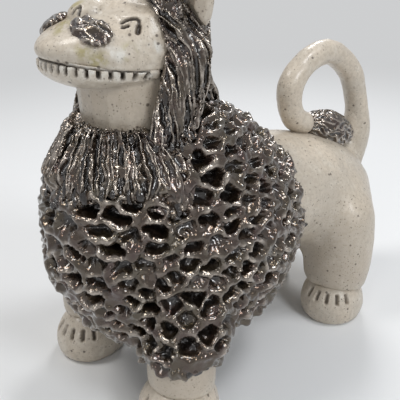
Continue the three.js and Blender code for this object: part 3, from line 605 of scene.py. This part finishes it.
def glaze_and_glint_spot(away, reach):
    """1 in the core of a spot, falling to 0 at its reach: pooled glaze, whiter glaze and painted
    highlights use it.
    """
    return np.clip(SPOT_CORE * (1 - away / reach), 0, 1)


throat_points = points_of(throat.data)
lip_away = stroke_distance(throat_points, rim)
# Whiter glaze along the lip, partly painted highlight.
store(throat.data, "white_glaze_and_glint", glaze_and_glint_spot(lip_away, LIP_WHITE_AND_GLINT_REACH))
# Painted shade: the neck just under the jaw is darkened, where the jaw shades it.
under_jaw = soft_step(throat_points[:, 2], THROAT_SHADE_LOW, THROAT_SHADE_TOP)
jaw_edge = (jaw_low.z - TOOTH_SLOT_HEIGHT, jaw_low.z + TOOTH_SLOT_HEIGHT)
on_jaw = soft_step(throat_points[:, 2], *jaw_edge)
store(throat.data, "painted_shade", under_jaw * (1 - on_jaw))
throat.data.materials.append(speckled_clay)
finish_piece(throat, THROAT_SWELL)

# Head: skull, muzzle and the bump of the nose, worked into one lump, with a step at the brow. Eyes
# and nostrils are drawn into the soft clay with a point. The glaze has pooled yellow on the muzzle;
# the white spots on the cheek are painted highlights.
HEAD_SWELL = {"head": 0.0004, "nose": 0.0014}
HEAD_GRAIN = 0.00042
HEAD_STROKES = 26
STOP_LOW = 0.1500
STOP_FRONT = -0.0665
STOP_BACK = -0.045
STOP_EDGE = 0.0035
STOP_FADE = 0.014
STOP_DEPTH = 0.006
EYE_LID_PIXELS = ((121, 23), (126, 20.5), (131, 19), (136, 18.5), (139, 21), (138.5, 27))
EYE_UNDER_PIXELS = ((122, 27.5), (128, 26))
EYE_DROP_PIXELS = ((138.5, 27), (138, 32))
NOSTRIL_PIXELS = (((79, 6), (75, 9.5), (72, 14)), ((80, 7), (79.5, 11), (78.5, 15)))
POOL_PIXELS = ((95, 61), (101, 60), (66, 24), (60, 30), (129, 52), (83, 52), (76, 4))
POOL_REACH = 0.0036
CHEEK_GLINT_PIXELS = ((152, 43), (157, 48), (120, 55), (110, 53))
CHEEK_GLINT_REACH = 0.0028
LINE_WIDTH = 0.00055
LINE_DEPTH = 0.0009
DROP_WIDTH = 0.0010
DROP_DEPTH = 0.0014
head = add_piece("head", lump_mesh("head", HEAD_SWELL))
smooth_lump(head, HEAD_GRAIN, HEAD_STROKES)
points = points_of(head.data)
stop = soft_step(points[:, 2], STOP_LOW, STOP_LOW + STOP_EDGE)
stop *= soft_step(points[:, 1], STOP_FRONT - STOP_EDGE, STOP_FRONT)
stop *= 1 - soft_step(points[:, 1], STOP_BACK - STOP_FADE, STOP_BACK)
points[:, 1] += STOP_DEPTH * stop
move_points(head, points)
head_skin = surface_of(head)


def both_sides(pixels):
    """The seen line on the near side of the face and its mirror image on the far side."""
    near = [point for point in (seen_at(head_skin, pixel) for pixel in pixels) if point]
    return near, [Vector((-point.x, point.y, point.z)) for point in near]


eye_lines = both_sides(EYE_LID_PIXELS) + both_sides(EYE_UNDER_PIXELS)
marks = [(line, LINE_WIDTH, LINE_DEPTH) for line in eye_lines]
marks += [(line, DROP_WIDTH, DROP_DEPTH) for line in both_sides(EYE_DROP_PIXELS)]
marks += [(both_sides(pixels)[0], LINE_WIDTH, LINE_DEPTH) for pixels in NOSTRIL_PIXELS]
carve(head, [mark for mark in marks if len(mark[0]) > 1])


points = points_of(head.data)
# Pooled olive glaze on the muzzle, and painted highlights on the cheek.
spots = (("pool", POOL_PIXELS, POOL_REACH), ("white_glaze_and_glint", CHEEK_GLINT_PIXELS, CHEEK_GLINT_REACH))
for kind, pixels, reach in spots:
    near, far = both_sides(pixels)
    away = [np.linalg.norm(points - np.array(spot), axis=1) for spot in near + far]
    store(head.data, kind, glaze_and_glint_spot(np.min(away, axis=0), reach))
head.data.materials.append(speckled_clay)
finish_piece(head, HEAD_SWELL)

# Ears: two pinched flaps of the pale clay, cupped to the front and tucked into the mane. Their
# front, where the cup shades them, is painted darker as shade.
EAR_SWELL = 0.0014
EAR_STRETCH = 1.2
EAR_GRAIN = 0.0004
EAR_STROKES = 14
EAR_SHADE_GAIN = 2
for name in ("left_ear", "right_ear"):
    ear = add_piece(name, lump_mesh(name, {name: EAR_SWELL}))
    smooth_lump(ear, EAR_GRAIN, EAR_STROKES)
    points = points_of(ear.data)
    tip = points[:, 2].max()
    points[:, 2] = tip - (tip - points[:, 2]) * EAR_STRETCH
    move_points(ear, points)
    # Painted shade on the front of each ear, inside the cup.
    store(ear.data, "painted_shade", np.clip(-EAR_SHADE_GAIN * normals_of(ear.data)[:, 1], 0, 1))
    ear.data.materials.append(speckled_clay)
    finish_piece(ear, [name])

# Mane cape: a thick coat of clay over chest, shoulders and the tops of the front legs, torn up all
# over with a scoop, each time from above, and covered with a dark metallic glaze. The pewter on the
# rims is partly worn glaze and partly painted highlight; the black in the pits is painted shade.
CAPE_FILL = 0.0034
CAPE_SWELL = 0.0002
CAPE_GRAIN = 0.00062
CAPE_STROKES = 16
PLUG_INSET = 0.002
PITS = {
    "Wall": 0.0012,
    "Depth": 0.0062,
    "Lip": 0.0012,
    "Droop": 0.0017,
    "Fold": 0.0018,
    "Crumbs": 0.0018,
}
PIT_SEED = 7
PIT_TRIES = 9000
PIT_SPACING = (0.0054, 0.0104)
PIT_FLATTEN = (1, 1, 1.25)
PIT_ROUND = 0.80
PIT_WARP = 0.0019
PIT_WARP_SIZE = 0.005
PIT_SLOPE = (-0.0045, 0.0015)
PIT_SLOPE_SHARES = (0.25, 1.0)
PIT_DEPTHS = (0.5, 1.1)
PIT_BROW = 0.003
BOWL_RUN = (0.2, 1.9)
LIP_RISE = (0.15, 0.6)
LIP_FALL = (0.7, 1.3)
BROW_RUN = (0.6, 2.0)
CUFF_HEIGHTS = (0.022, 0.042)
CUFF_SHARES = (0.5, 1.0)
FOLD_STRETCH = (0.7, 0.7, 1.7)
FOLD_NOISE = (180.0, 1.0)
FOLD_WIDTH = 0.085
CRUMB_NOISE = (290.0, 2.5)
GLAZE_FLOW = 3
PIT_CREST = 0.0018
PIT_HOLLOW = 0.0020
CREST_ROUNDS = 10
HOLLOW_ROUNDS = 60
# Dark of the hollows is painted shade; pewter on the crests is partly worn glaze and partly painted
# highlight.
GLAZE_DARK = (0.012, 0.008, 0.006, 1)
GLAZE_BROWN = (0.064, 0.042, 0.028, 1)
GLAZE_PEWTER = (0.48, 0.42, 0.36, 1)
GLAZE_OLIVE = (0.066, 0.050, 0.030, 1)
GLAZE_PLUM = (0.060, 0.035, 0.029, 1)
OLIVE_PATCHES = (90.0, 4.0, 0.36, 0.64)
PLUM_PATCHES = (150.0, 4.0, 0.44, 0.72)
WORN_AND_HIGHLIGHT_PATCHES = (300.0, 4.0, 0.35, 0.62)
CREST_HIGHLIGHT_RUN = (0.25, 0.90)
WORN_AND_HIGHLIGHT_SHARES = (0.15, 0.75)
DARK_RUN = (0.10, 0.85)
METAL_RUN = (0.1, 0.7)
METAL_SHARES = (0.85, 0.35)
GLAZE_ROUGHNESS = (0.06, 0.20)
GLAZE_BUMP = {"Strength": 0.6, "Distance": 0.0008}
GLAZE_COAT = 1.0
GLAZE_COAT_ROUGHNESS = 0.06


def glaze_finish():
    glaze = bpy.data.materials.new("mane_glaze")
    glaze.use_nodes = True
    tree = glaze.node_tree
    shader = tree.nodes["Principled BSDF"]
    place = Wire(tree, tree.nodes.new("ShaderNodeTexCoord").outputs["Object"])
    hollow = place.node("ShaderNodeAttribute", {"attribute_name": "hollow"}, {}, "Fac")
    crest = place.node("ShaderNodeAttribute", {"attribute_name": "crest"}, {}, "Fac")
    colour = place.patches(*OLIVE_PATCHES).mix(GLAZE_BROWN, GLAZE_OLIVE)
    colour = place.patches(*PLUM_PATCHES).mix(colour, GLAZE_PLUM)
    # Pewter on crests: partly worn glaze, partly painted highlight on the rims and ridges.
    worn_and_highlight = crest.ramp(*CREST_HIGHLIGHT_RUN) * place.patches(*WORN_AND_HIGHLIGHT_PATCHES).between(*WORN_AND_HIGHLIGHT_SHARES)
    colour = worn_and_highlight.mix(colour, GLAZE_PEWTER)
    # Painted shade: hollows of the pits and of the combed troughs are darkened towards black.
    colour = hollow.ramp(*DARK_RUN).mix(colour, GLAZE_DARK)
    tree.links.new(colour.socket, shader.inputs["Base Color"])
    metal = hollow.ramp(*METAL_RUN).between(*METAL_SHARES)
    tree.links.new(metal.socket, shader.inputs["Metallic"])
    rough = place.noise(260.0, 3.0).between(*GLAZE_ROUGHNESS)
    tree.links.new(rough.socket, shader.inputs["Roughness"])
    skin = place.noise(900.0, 2.0) * 0.35 + place.noise(360.0, 2.0) * 1.2
    grain = place.node("ShaderNodeBump", {}, {**GLAZE_BUMP, "Height": skin})
    tree.links.new(grain.socket, shader.inputs["Normal"])
    shader.inputs["Coat Weight"].default_value = GLAZE_COAT
    shader.inputs["Coat Roughness"].default_value = GLAZE_COAT_ROUGHNESS
    return glaze


def new_tree(name, inputs):
    """A node tree with named inputs, and a wire for each of them."""
    tree = bpy.data.node_groups.new(name, "GeometryNodeTree")
    tree.interface.new_socket("Geometry", in_out="INPUT", socket_type="NodeSocketGeometry")
    for label, kind in inputs.items():
        tree.interface.new_socket(label, in_out="INPUT", socket_type=kind)
    tree.interface.new_socket("Geometry", in_out="OUTPUT", socket_type="NodeSocketGeometry")
    entry = tree.nodes.new("NodeGroupInput")
    return tree, {socket.name: Wire(tree, socket) for socket in entry.outputs if socket.name}


def close_tree(tree, shape, finish):
    whole = shape.node("GeometryNodeRealizeInstances", {}, {"Geometry": shape})
    sockets = {"Geometry": whole, "Material": finish}
    dressed = whole.node("GeometryNodeSetMaterial", {}, sockets)
    tree.links.new(dressed.socket, tree.nodes.new("NodeGroupOutput").inputs["Geometry"])


def run_tree(piece, tree, values):
    worker = piece.modifiers.new(tree.name, "NODES")
    worker.node_group = tree
    for socket in tree.interface.items_tree:
        if socket.in_out == "INPUT" and socket.name in values:
            worker[socket.identifier] = values[socket.name]
    bake(piece)


def mark_relief(piece, smooth_points, outward, crest, hollow):
    """Stores where the clay stands above what is close by, as crest, or below what is round it."""
    mesh = piece.data
    lift = np.einsum("ij,ij->i", points_of(mesh) - smooth_points, outward)
    ends = np.empty(len(mesh.edges) * 2, dtype=np.int32)
    mesh.edges.foreach_get("vertices", ends)
    first, second = ends.reshape(-1, 2).T
    count = len(lift)
    degree = np.maximum(np.bincount(ends, minlength=count), 1)
    soft = lift.copy()
    # The crest drives the painted highlight of the glaze, the hollow its painted shade.
    for i in range(HOLLOW_ROUNDS):
        total = np.bincount(first, soft[second], count) + np.bincount(second, soft[first], count)
        soft = total / degree
        if i == CREST_ROUNDS:
            store(mesh, "crest", np.clip((lift - soft) / crest, 0, 1))
    store(mesh, "hollow", np.clip((soft - lift) / hollow, 0, 1))


def scoop_cells(piece):
    """Scatters scoops over a piece and stores where each point lies in the nearest one."""
    mesh = piece.data
    dice = np.random.default_rng(PIT_SEED)
    noise.seed_set(PIT_SEED)
    skin = surface_of(piece)
    spots = points_of(mesh)
    centres = []
    for guess in dice.uniform(spots.min(0), spots.max(0), (PIT_TRIES, 3)):
        spot = np.array(skin.find_nearest(Vector(guess))[0]) * PIT_FLATTEN
        room = dice.uniform(*PIT_SPACING)
        if not centres or np.linalg.norm(np.array(centres) - spot, axis=1).min() > room:
            centres.append(spot)
    spots = spots * PIT_FLATTEN
    tree = KDTree(len(centres))
    for i, centre in enumerate(centres):
        tree.insert(centre, i)
    tree.balance()
    chances = dice.uniform(0, 1, len(centres))
    reaches = [PIT_ROUND * tree.find_n(centre, 2)[1][2] for centre in centres]
    edge = np.empty(len(spots))
    rise = np.empty(len(spots))
    chance = np.empty(len(spots))
    for i, spot in enumerate(spots):
        bent = Vector(spot) + noise.noise_vector(Vector(spot) / PIT_WARP_SIZE) * PIT_WARP
        (near, which, way), (other, _, other_way) = tree.find_n(bent, 2)
        wall = (other_way**2 - way**2) / (2 * (other - near).length)
        edge[i] = min(wall, reaches[which] - way)
        rise[i] = bent.z - near.z
        chance[i] = chances[which]
    store(mesh, "edge", edge)
    store(mesh, "rise", rise)
    store(mesh, "chance", chance)


def named_field(shape, name):
    return shape.node("GeometryNodeInputNamedAttribute", {"data_type": "FLOAT"}, {"Name": name})


def pit_tree(glaze):
    tree, given = new_tree("scooped_pits", {label: "NodeSocketFloat" for label in PITS})
    shape = given["Geometry"]
    place = shape.node("GeometryNodeInputPosition", {}, {})
    facing = shape.node("GeometryNodeInputNormal", {}, {})
    edge = named_field(shape, "edge") / given["Wall"]
    rise = named_field(shape, "rise")
    cuff = place.dot((0, 0, 1)).ramp(*CUFF_HEIGHTS).between(*CUFF_SHARES)
    deep = named_field(shape, "chance").between(*PIT_DEPTHS) * cuff
    bowl = edge.ramp(*BOWL_RUN) * rise.ramp(*PIT_SLOPE).between(*PIT_SLOPE_SHARES) * deep
    lip = (edge.ramp(*LIP_RISE) - edge.ramp(*LIP_FALL)) * deep
    stretch = {0: place, 1: FOLD_STRETCH}
    long_place = place.node("ShaderNodeVectorMath", {"operation": "MULTIPLY"}, stretch)
    wave = long_place.noise(*FOLD_NOISE) - 0.5
    fold = 1 - wave.maths("ABSOLUTE", wave).ramp(0.0, FOLD_WIDTH)
    crumbs = place.noise(*CRUMB_NOISE) - 0.5
    relief = lip * given["Lip"] + fold * given["Fold"] + crumbs * given["Crumbs"]
    height = relief - bowl * given["Depth"]
    brow = rise.ramp(0.0, PIT_BROW) * (1 - edge.ramp(*BROW_RUN)) * deep * given["Droop"]
    fall = brow.node("ShaderNodeCombineXYZ", {}, {"Z": brow * -1})
    offset = facing * height + fall
    torn = shape.node("GeometryNodeSetPosition", {}, {"Geometry": shape, "Offset": offset})
    soft = {"Value": place, "Iterations": GLAZE_FLOW}
    flow = place.node("GeometryNodeBlurAttribute", {"data_type": "FLOAT_VECTOR"}, soft)
    shape = torn.node("GeometryNodeSetPosition", {}, {"Geometry": torn, "Position": flow})
    close_tree(tree, shape, glaze)
    return tree


mane_glaze = glaze_finish()
cape_mesh = join_meshes(
    "mane_cape",
    [
        lump_mesh("mane_cape_coat", {"mane_cape": CAPE_SWELL}, CAPE_FILL),
        hull_of("breast", part_of("torso", lambda at: at.y < cape_high[1] - PLUG_INSET)),
        hull_of("gullet", part_of("neck", lambda at: at.z < cape_high[2] - PLUG_INSET)),
        hull_of("left_cuff", part_of("front_left_leg", lambda at: at.z > cuff_height)),
        hull_of("right_cuff", part_of("front_right_leg", lambda at: at.z > cuff_height)),
    ],
)
cape = add_piece("mane_cape", cape_mesh)
smooth_lump(cape, CAPE_GRAIN, CAPE_STROKES, 0.0, CAPE_FILL)
cape_points = points_of(cape.data)
cape_outward = normals_of(cape.data)
scoop_cells(cape)
run_tree(cape, pit_tree(mane_glaze), PITS)
mark_relief(cape, cape_points, cape_outward, PIT_CREST, PIT_HOLLOW)
finish_piece(cape, ["mane_cape"])

# Combed mane: slabs of clay laid round the face, over the crown and down the nape, and a thicker one
# under the chin. Each was scraped with the end of a stick in long strokes away from the face, which
# leave hollow troughs between thin sharp ridges.
SLAB_FILL = 0.0016
SLAB_SWELL = 0.0006
SLAB_GRAIN = 0.00045
SLAB_STROKES = 12
LOCKS = {"Width": 0.0036, "Length": 0.030, "Depth": 0.0017, "Waver": 0.0060, "Crumbs": 0.0}
COMB = {"Width": 0.0017, "Length": 0.022, "Depth": 0.0013, "Waver": 0.0050, "Crumbs": 0.0005}
COMB_WAVES = (60.0, 2.0)
COMB_RIPPLES = (240.0, 2.0)
RIPPLE_SHARE = 0.3
COMB_RUN = (0.02, 0.32)
COMB_DEPTHS = (0.4, 1.2)
COMB_CRUMBS = (380.0, 3.0)
COMB_CREST = 0.00034
COMB_HOLLOW = 0.0008
RUFF_SLICES = 6
RUFF_GIRTH = 0.0085
RUFF_SLANT = 0.25
RUFF_SWEEP = 0.50
RUFF_SWEEP_RUN = 0.028
EAR_NOTCH = 0.16
EAR_NOTCH_EDGE = 0.006
EAR_NOTCH_RISE = 0.012
BEARD_GIRTH = 0.024
BEARD_TOP_SLOPE = 0.17
BEARD_FEATHER = 0.007
BEARD_HEM = 0.0035
BEARD_WAVES = ((7, 1), (17, 0))
BEARD_FAN = 0.010
BEARD_END = math.radians(72)
BEARD_END_FEATHER = math.radians(16)
BEARD_SINK = 0.0012
COLLAR_LOW = 0.096
COLLAR_TOP = 0.113
COLLAR_THROAT = 0.1150
COLLAR_SIDE_RISE = 0.016
COLLAR_HUG = 0.90
COLLAR_SIDES = 24


def comb_tree(glaze):
    tree, given = new_tree("comb_strokes", {label: "NodeSocketFloat" for label in COMB})
    shape = given["Geometry"]
    place = shape.node("GeometryNodeInputPosition", {}, {})
    facing = shape.node("GeometryNodeInputNormal", {}, {})
    waver = place.noise(*COMB_WAVES) - 0.5 + (place.noise(*COMB_RIPPLES) - 0.5) * RIPPLE_SHARE
    u = (named_field(shape, "across") + waver * given["Waver"]) / given["Width"]
    v = named_field(shape, "along") / given["Length"]
    spot = u.node("ShaderNodeCombineXYZ", {}, {"X": u, "Y": v})
    sockets = {"Vector": spot, "Scale": 1.0}
    walls = {"voronoi_dimensions": "2D", "feature": "DISTANCE_TO_EDGE"}
    cells = {"voronoi_dimensions": "2D", "feature": "F1"}
    edge = spot.node("ShaderNodeTexVoronoi", walls, sockets)
    cell = spot.node("ShaderNodeTexVoronoi", cells, sockets, "Color")
    chance = cell.node("ShaderNodeSeparateXYZ", {}, {"Vector": cell}, "X")
    deep = edge.ramp(*COMB_RUN) * chance.between(*COMB_DEPTHS)
    crumbs = place.noise(*COMB_CRUMBS) - 0.5
    move = facing * (crumbs * given["Crumbs"] - deep * given["Depth"])
    shape = shape.node("GeometryNodeSetPosition", {}, {"Geometry": shape, "Offset": move})
    close_tree(tree, shape, glaze)
    return tree


comb_strokes = comb_tree(mane_glaze)


def comb(piece, across, along, sizes, crest=COMB_CREST):
    """Scrapes the piece with strokes that run where across stays the same."""
    smooth_points = points_of(piece.data)
    outward = normals_of(piece.data)
    store(piece.data, "across", across)
    store(piece.data, "along", along)
    for strokes in sizes:
        run_tree(piece, comb_strokes, strokes)
    mark_relief(piece, smooth_points, outward, crest, COMB_HOLLOW)


def along_line(points, line):
    """For each point, how far along the line its foot lies, and the foot itself."""
    line = np.asarray(line, dtype=float)
    best = np.full(len(points), np.inf)
    walked = np.zeros(len(points))
    foot = np.zeros((len(points), 3))
    passed = 0.0
    for start, end in zip(line[:-1], line[1:]):
        stretch = end - start
        length = np.linalg.norm(stretch)
        share = np.clip(((points - start) @ stretch) / length**2, 0, 1)
        here = start + share[:, None] * stretch
        away = np.linalg.norm(points - here, axis=1)
        closer = away < best
        best[closer] = away[closer]
        walked[closer] = passed + share[closer] * length
        foot[closer] = here[closer]
        passed += length
    return walked, foot


def slab(name, meshes=(), swell=SLAB_SWELL):
    """A combed slab before combing, with other lumps joined to it."""
    coat = lump_mesh(name + "_coat", {name: swell}, SLAB_FILL)
    piece = add_piece(name, join_meshes(name, [coat, *meshes]))
    smooth_lump(piece, SLAB_GRAIN, SLAB_STROKES, 0.0, SLAB_FILL)
    return piece, points_of(piece.data)


def slice_middles(points, axis, count):
    """Middles of equal slices of a cloud of points, as a line through it."""
    edges = np.linspace(points[:, axis].min(), points[:, axis].max(), count + 1)
    middles = []
    for low, high in zip(edges, edges[1:]):
        part = points[(points[:, axis] >= low) & (points[:, axis] <= high)]
        if len(part):
            middles.append((part.min(0) + part.max(0)) / 2)
    return np.array(middles)


for name, side in (("left_ruff", 1), ("right_ruff", -1)):
    ruff, points = slab(name)
    ear_low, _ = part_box(name.replace("ruff", "ear"))
    notch = soft_step(points[:, 1], ear_low[1] - EAR_NOTCH_EDGE, ear_low[1])
    notch *= soft_step(points[:, 2], ear_low[2] - EAR_NOTCH_RISE, ear_low[2])
    points[:, 0] *= 1 - EAR_NOTCH * notch
    move_points(ruff, points)
    spine = slice_middles(points, 2, RUFF_SLICES)[::-1]
    walked, foot = along_line(points, spine)
    out = side * (points[:, 0] - foot[:, 0])
    back = points[:, 1] - foot[:, 1]
    turn = np.arctan2(back, out)
    sweep = RUFF_SWEEP * RUFF_SWEEP_RUN * (1 - np.exp(-walked / RUFF_SWEEP_RUN))
    across = turn * RUFF_GIRTH - walked * RUFF_SLANT - sweep
    comb(ruff, across, walked, (LOCKS, COMB))
    finish_piece(ruff, [name])

neck_low, neck_high = (Vector(corner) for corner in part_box("neck"))
throat_axis = np.array([0, (neck_low.y + neck_high.y) / 2, COLLAR_LOW])
collar_reach = neck_high.x * COLLAR_HUG
collar_ring = []
for i in range(COLLAR_SIDES):
    turn = 2 * math.pi * i / COLLAR_SIDES
    aside = collar_reach * math.sin(turn)
    ahead = throat_axis[1] - collar_reach * math.cos(turn)
    height = COLLAR_THROAT + COLLAR_SIDE_RISE * (1 - math.cos(turn)) / 2
    collar_ring.append(Vector((aside, ahead, height)))
collar = hull_of("collar", part_of("beard", lambda at: COLLAR_LOW < at.z < COLLAR_TOP), collar_ring)
beard, points = slab("beard", [collar])
cape_faces = [list(face.vertices) for face in cape.data.polygons]
cape_skin = BVHTree.FromPolygons(cape_points.tolist(), cape_faces)


def feather(piece, weights):
    """Thins a slab out over the cape, down into it where the weight is 1."""
    points = points_of(piece.data)
    for i in np.flatnonzero(weights > 0):
        spot, outward, _, _ = cape_skin.find_nearest(Vector(points[i]))
        points[i] += (np.array(spot - outward * BEARD_SINK) - points[i]) * weights[i]
    move_points(piece, points)
    return points


points[:, :2] -= throat_axis[:2]
points[:, :2] *= (1 - BEARD_TOP_SLOPE * soft_step(points[:, 2], COLLAR_LOW, COLLAR_TOP))[:, None]
points[:, :2] += throat_axis[:2]
move_points(beard, points)
beard_low = points[:, 2].min()
turn = np.arctan2(points[:, 0] - throat_axis[0], throat_axis[1] - points[:, 1])
waves = sum(np.sin(count * turn + start) for count, start in BEARD_WAVES)
hem = beard_low + BEARD_HEM * (1 + waves / len(BEARD_WAVES))
thin = 1 - soft_step(points[:, 2], hem, hem + BEARD_FEATHER)
thin = np.maximum(thin, soft_step(np.abs(turn), BEARD_END, BEARD_END + BEARD_END_FEATHER))
thin *= 1 - soft_step(points[:, 2], COLLAR_LOW, COLLAR_TOP)
points = feather(beard, thin)
away = points - throat_axis + np.array([0, BEARD_FAN, 0])
turn = np.arctan2(away[:, 0], -away[:, 1])
dip = np.arctan2(-away[:, 2], np.hypot(away[:, 0], away[:, 1]))
comb(beard, turn * BEARD_GIRTH, dip * BEARD_GIRTH, (LOCKS, COMB))
finish_piece(beard, ["beard"])

nape, points = slab("nape_mane")
comb(nape, points[:, 0], -points[:, 2], (LOCKS, COMB))
finish_piece(nape, ["nape_mane"])

forelock, points = slab("forelock")
points[:, 1] += STOP_DEPTH * (1 - soft_step(points[:, 1], STOP_BACK - STOP_FADE, STOP_BACK))
move_points(forelock, points)
comb(forelock, points[:, 0], points[:, 1], (LOCKS, COMB))
finish_piece(forelock, ["forelock"])

# Whisker pads and tail tuft: small lumps of clay with the same glaze as the mane, pressed onto the
# muzzle and onto the end of the tail, and scratched along their length.
PAD_COMB = {"Width": 0.0024, "Length": 0.009, "Depth": 0.0011, "Waver": 0.0080, "Crumbs": 0.0007}
PAD_CREST = 0.00022
TUFT_GIRTH = 0.007
TUFT_SWELL = 0.0022
TUFT_CREST = 0.00014


def main_axes(points):
    """The middle of a cloud of points and its directions, longest first."""
    middle = points.mean(0)
    return middle, np.linalg.svd(points - middle, full_matrices=False)[2]


for name in ("left_whisker_pad", "right_whisker_pad"):
    pad, points = slab(name)
    middle, axes = main_axes(points)
    comb(pad, (points - middle) @ axes[1], (points - middle) @ axes[0], (PAD_COMB,), PAD_CREST)
    finish_piece(pad, [name])

tuft, points = slab("tail_tuft", (), TUFT_SWELL)
middle, axes = main_axes(points)
turn = np.arctan2((points - middle) @ axes[2], (points - middle) @ axes[1])
comb(tuft, turn * TUFT_GIRTH, (points - middle) @ axes[0], (PAD_COMB,), TUFT_CREST)
finish_piece(tuft, ["tail_tuft"])

# Floor and light: a plain pale table that fades into the background, under five round lamps placed
# all round and above. The light of the background itself is dim, so that the glaze shows the lamps.
FLOOR_REACH = 6.0
FLOOR_ROUGHNESS = 0.65
FLOOR_COLOUR = (0.78, 0.79, 0.80, 1)
SKY_COLOUR = (0.85, 0.86, 0.87, 1)
SKY_LIGHT = 0.28
SKY_SEEN = 0.72
FADE_NEAR = 0.28
FADE_FAR = 0.85


def looking_rays(tree):
    """1 for rays that show the background, straight from the camera or by a reflection."""
    rays = Wire(tree, tree.nodes.new("ShaderNodeLightPath").outputs["Is Camera Ray"])
    total = rays + rays.other("Is Glossy Ray") + rays.other("Is Transmission Ray")
    return total.maths("MINIMUM", total, 1.0)


table = bmesh.new()
bmesh.ops.create_grid(table, x_segments=2, y_segments=2, size=FLOOR_REACH)
table_mesh = bpy.data.meshes.new("table")
table.to_mesh(table_mesh)
table.free()
table = add_piece("table", table_mesh)
table_paint = bpy.data.materials.new("table_paint")
table_paint.use_nodes = True
tree = table_paint.node_tree
paint = tree.nodes["Principled BSDF"]
paint.inputs["Base Color"].default_value = FLOOR_COLOUR
paint.inputs["Roughness"].default_value = FLOOR_ROUGHNESS
place = Wire(tree, tree.nodes.new("ShaderNodeTexCoord").outputs["Object"])
distance = place.node("ShaderNodeVectorMath", {"operation": "LENGTH"}, {0: place}, "Value")
fade = distance.ramp(FADE_NEAR, FADE_FAR) * looking_rays(tree)
haze = place.node("ShaderNodeEmission", {}, {"Color": SKY_COLOUR, "Strength": SKY_SEEN})
sockets = {0: fade, 1: Wire(tree, paint.outputs["BSDF"]), 2: haze}
ground = fade.node("ShaderNodeMixShader", {}, sockets)
tree.links.new(ground.socket, tree.nodes["Material Output"].inputs["Surface"])
table.data.materials.append(table_paint)


def add_lamp(name, place, aim_height, size, power, colour):
    """A round lamp that shines at a height above the middle of the table."""
    aim = Vector((0, 0, aim_height))
    lamp = bpy.data.objects.new(name, bpy.data.lights.new(name, "AREA"))
    lamp.data.shape = "DISK"
    lamp.data.size = size
    lamp.data.energy = power
    lamp.data.color = colour
    lamp.location = place
    lamp.rotation_euler = (aim - Vector(place)).to_track_quat("-Z", "Y").to_euler()
    bpy.context.scene.collection.objects.link(lamp)


WARM_DAY = (1.0, 0.98, 0.95)
SOFT_DAY = (1.0, 0.99, 0.97)
WHITE_DAY = (1.0, 1.0, 1.0)
BLUE_DAY = (0.97, 0.98, 1.0)
COOL_DAY = (0.94, 0.97, 1.0)
add_lamp("window", (-0.28, -0.42, 0.95), 0.08, size=0.34, power=3.8, colour=WARM_DAY)
add_lamp("side_window", (0.80, 0.0, 0.62), 0.07, size=0.27, power=3.2, colour=COOL_DAY)
add_lamp("back_window", (-0.45, 0.58, 0.72), 0.09, size=0.27, power=2.7, colour=WHITE_DAY)
add_lamp("front_window", (0.36, -0.90, 0.50), 0.07, size=0.27, power=1.3, colour=SOFT_DAY)
add_lamp("roof_window", (0.36, 0.22, 1.05), 0.09, size=0.27, power=3.3, colour=BLUE_DAY)
world = bpy.data.worlds.new("studio")
world.use_nodes = True
bpy.context.scene.world = world
sky = world.node_tree.nodes["Background"]
sky.inputs["Color"].default_value = SKY_COLOUR
strength = looking_rays(world.node_tree).between(SKY_LIGHT, SKY_SEEN)
world.node_tree.links.new(strength.socket, sky.inputs["Strength"])
bpy.context.scene.view_settings.view_transform = "Standard"
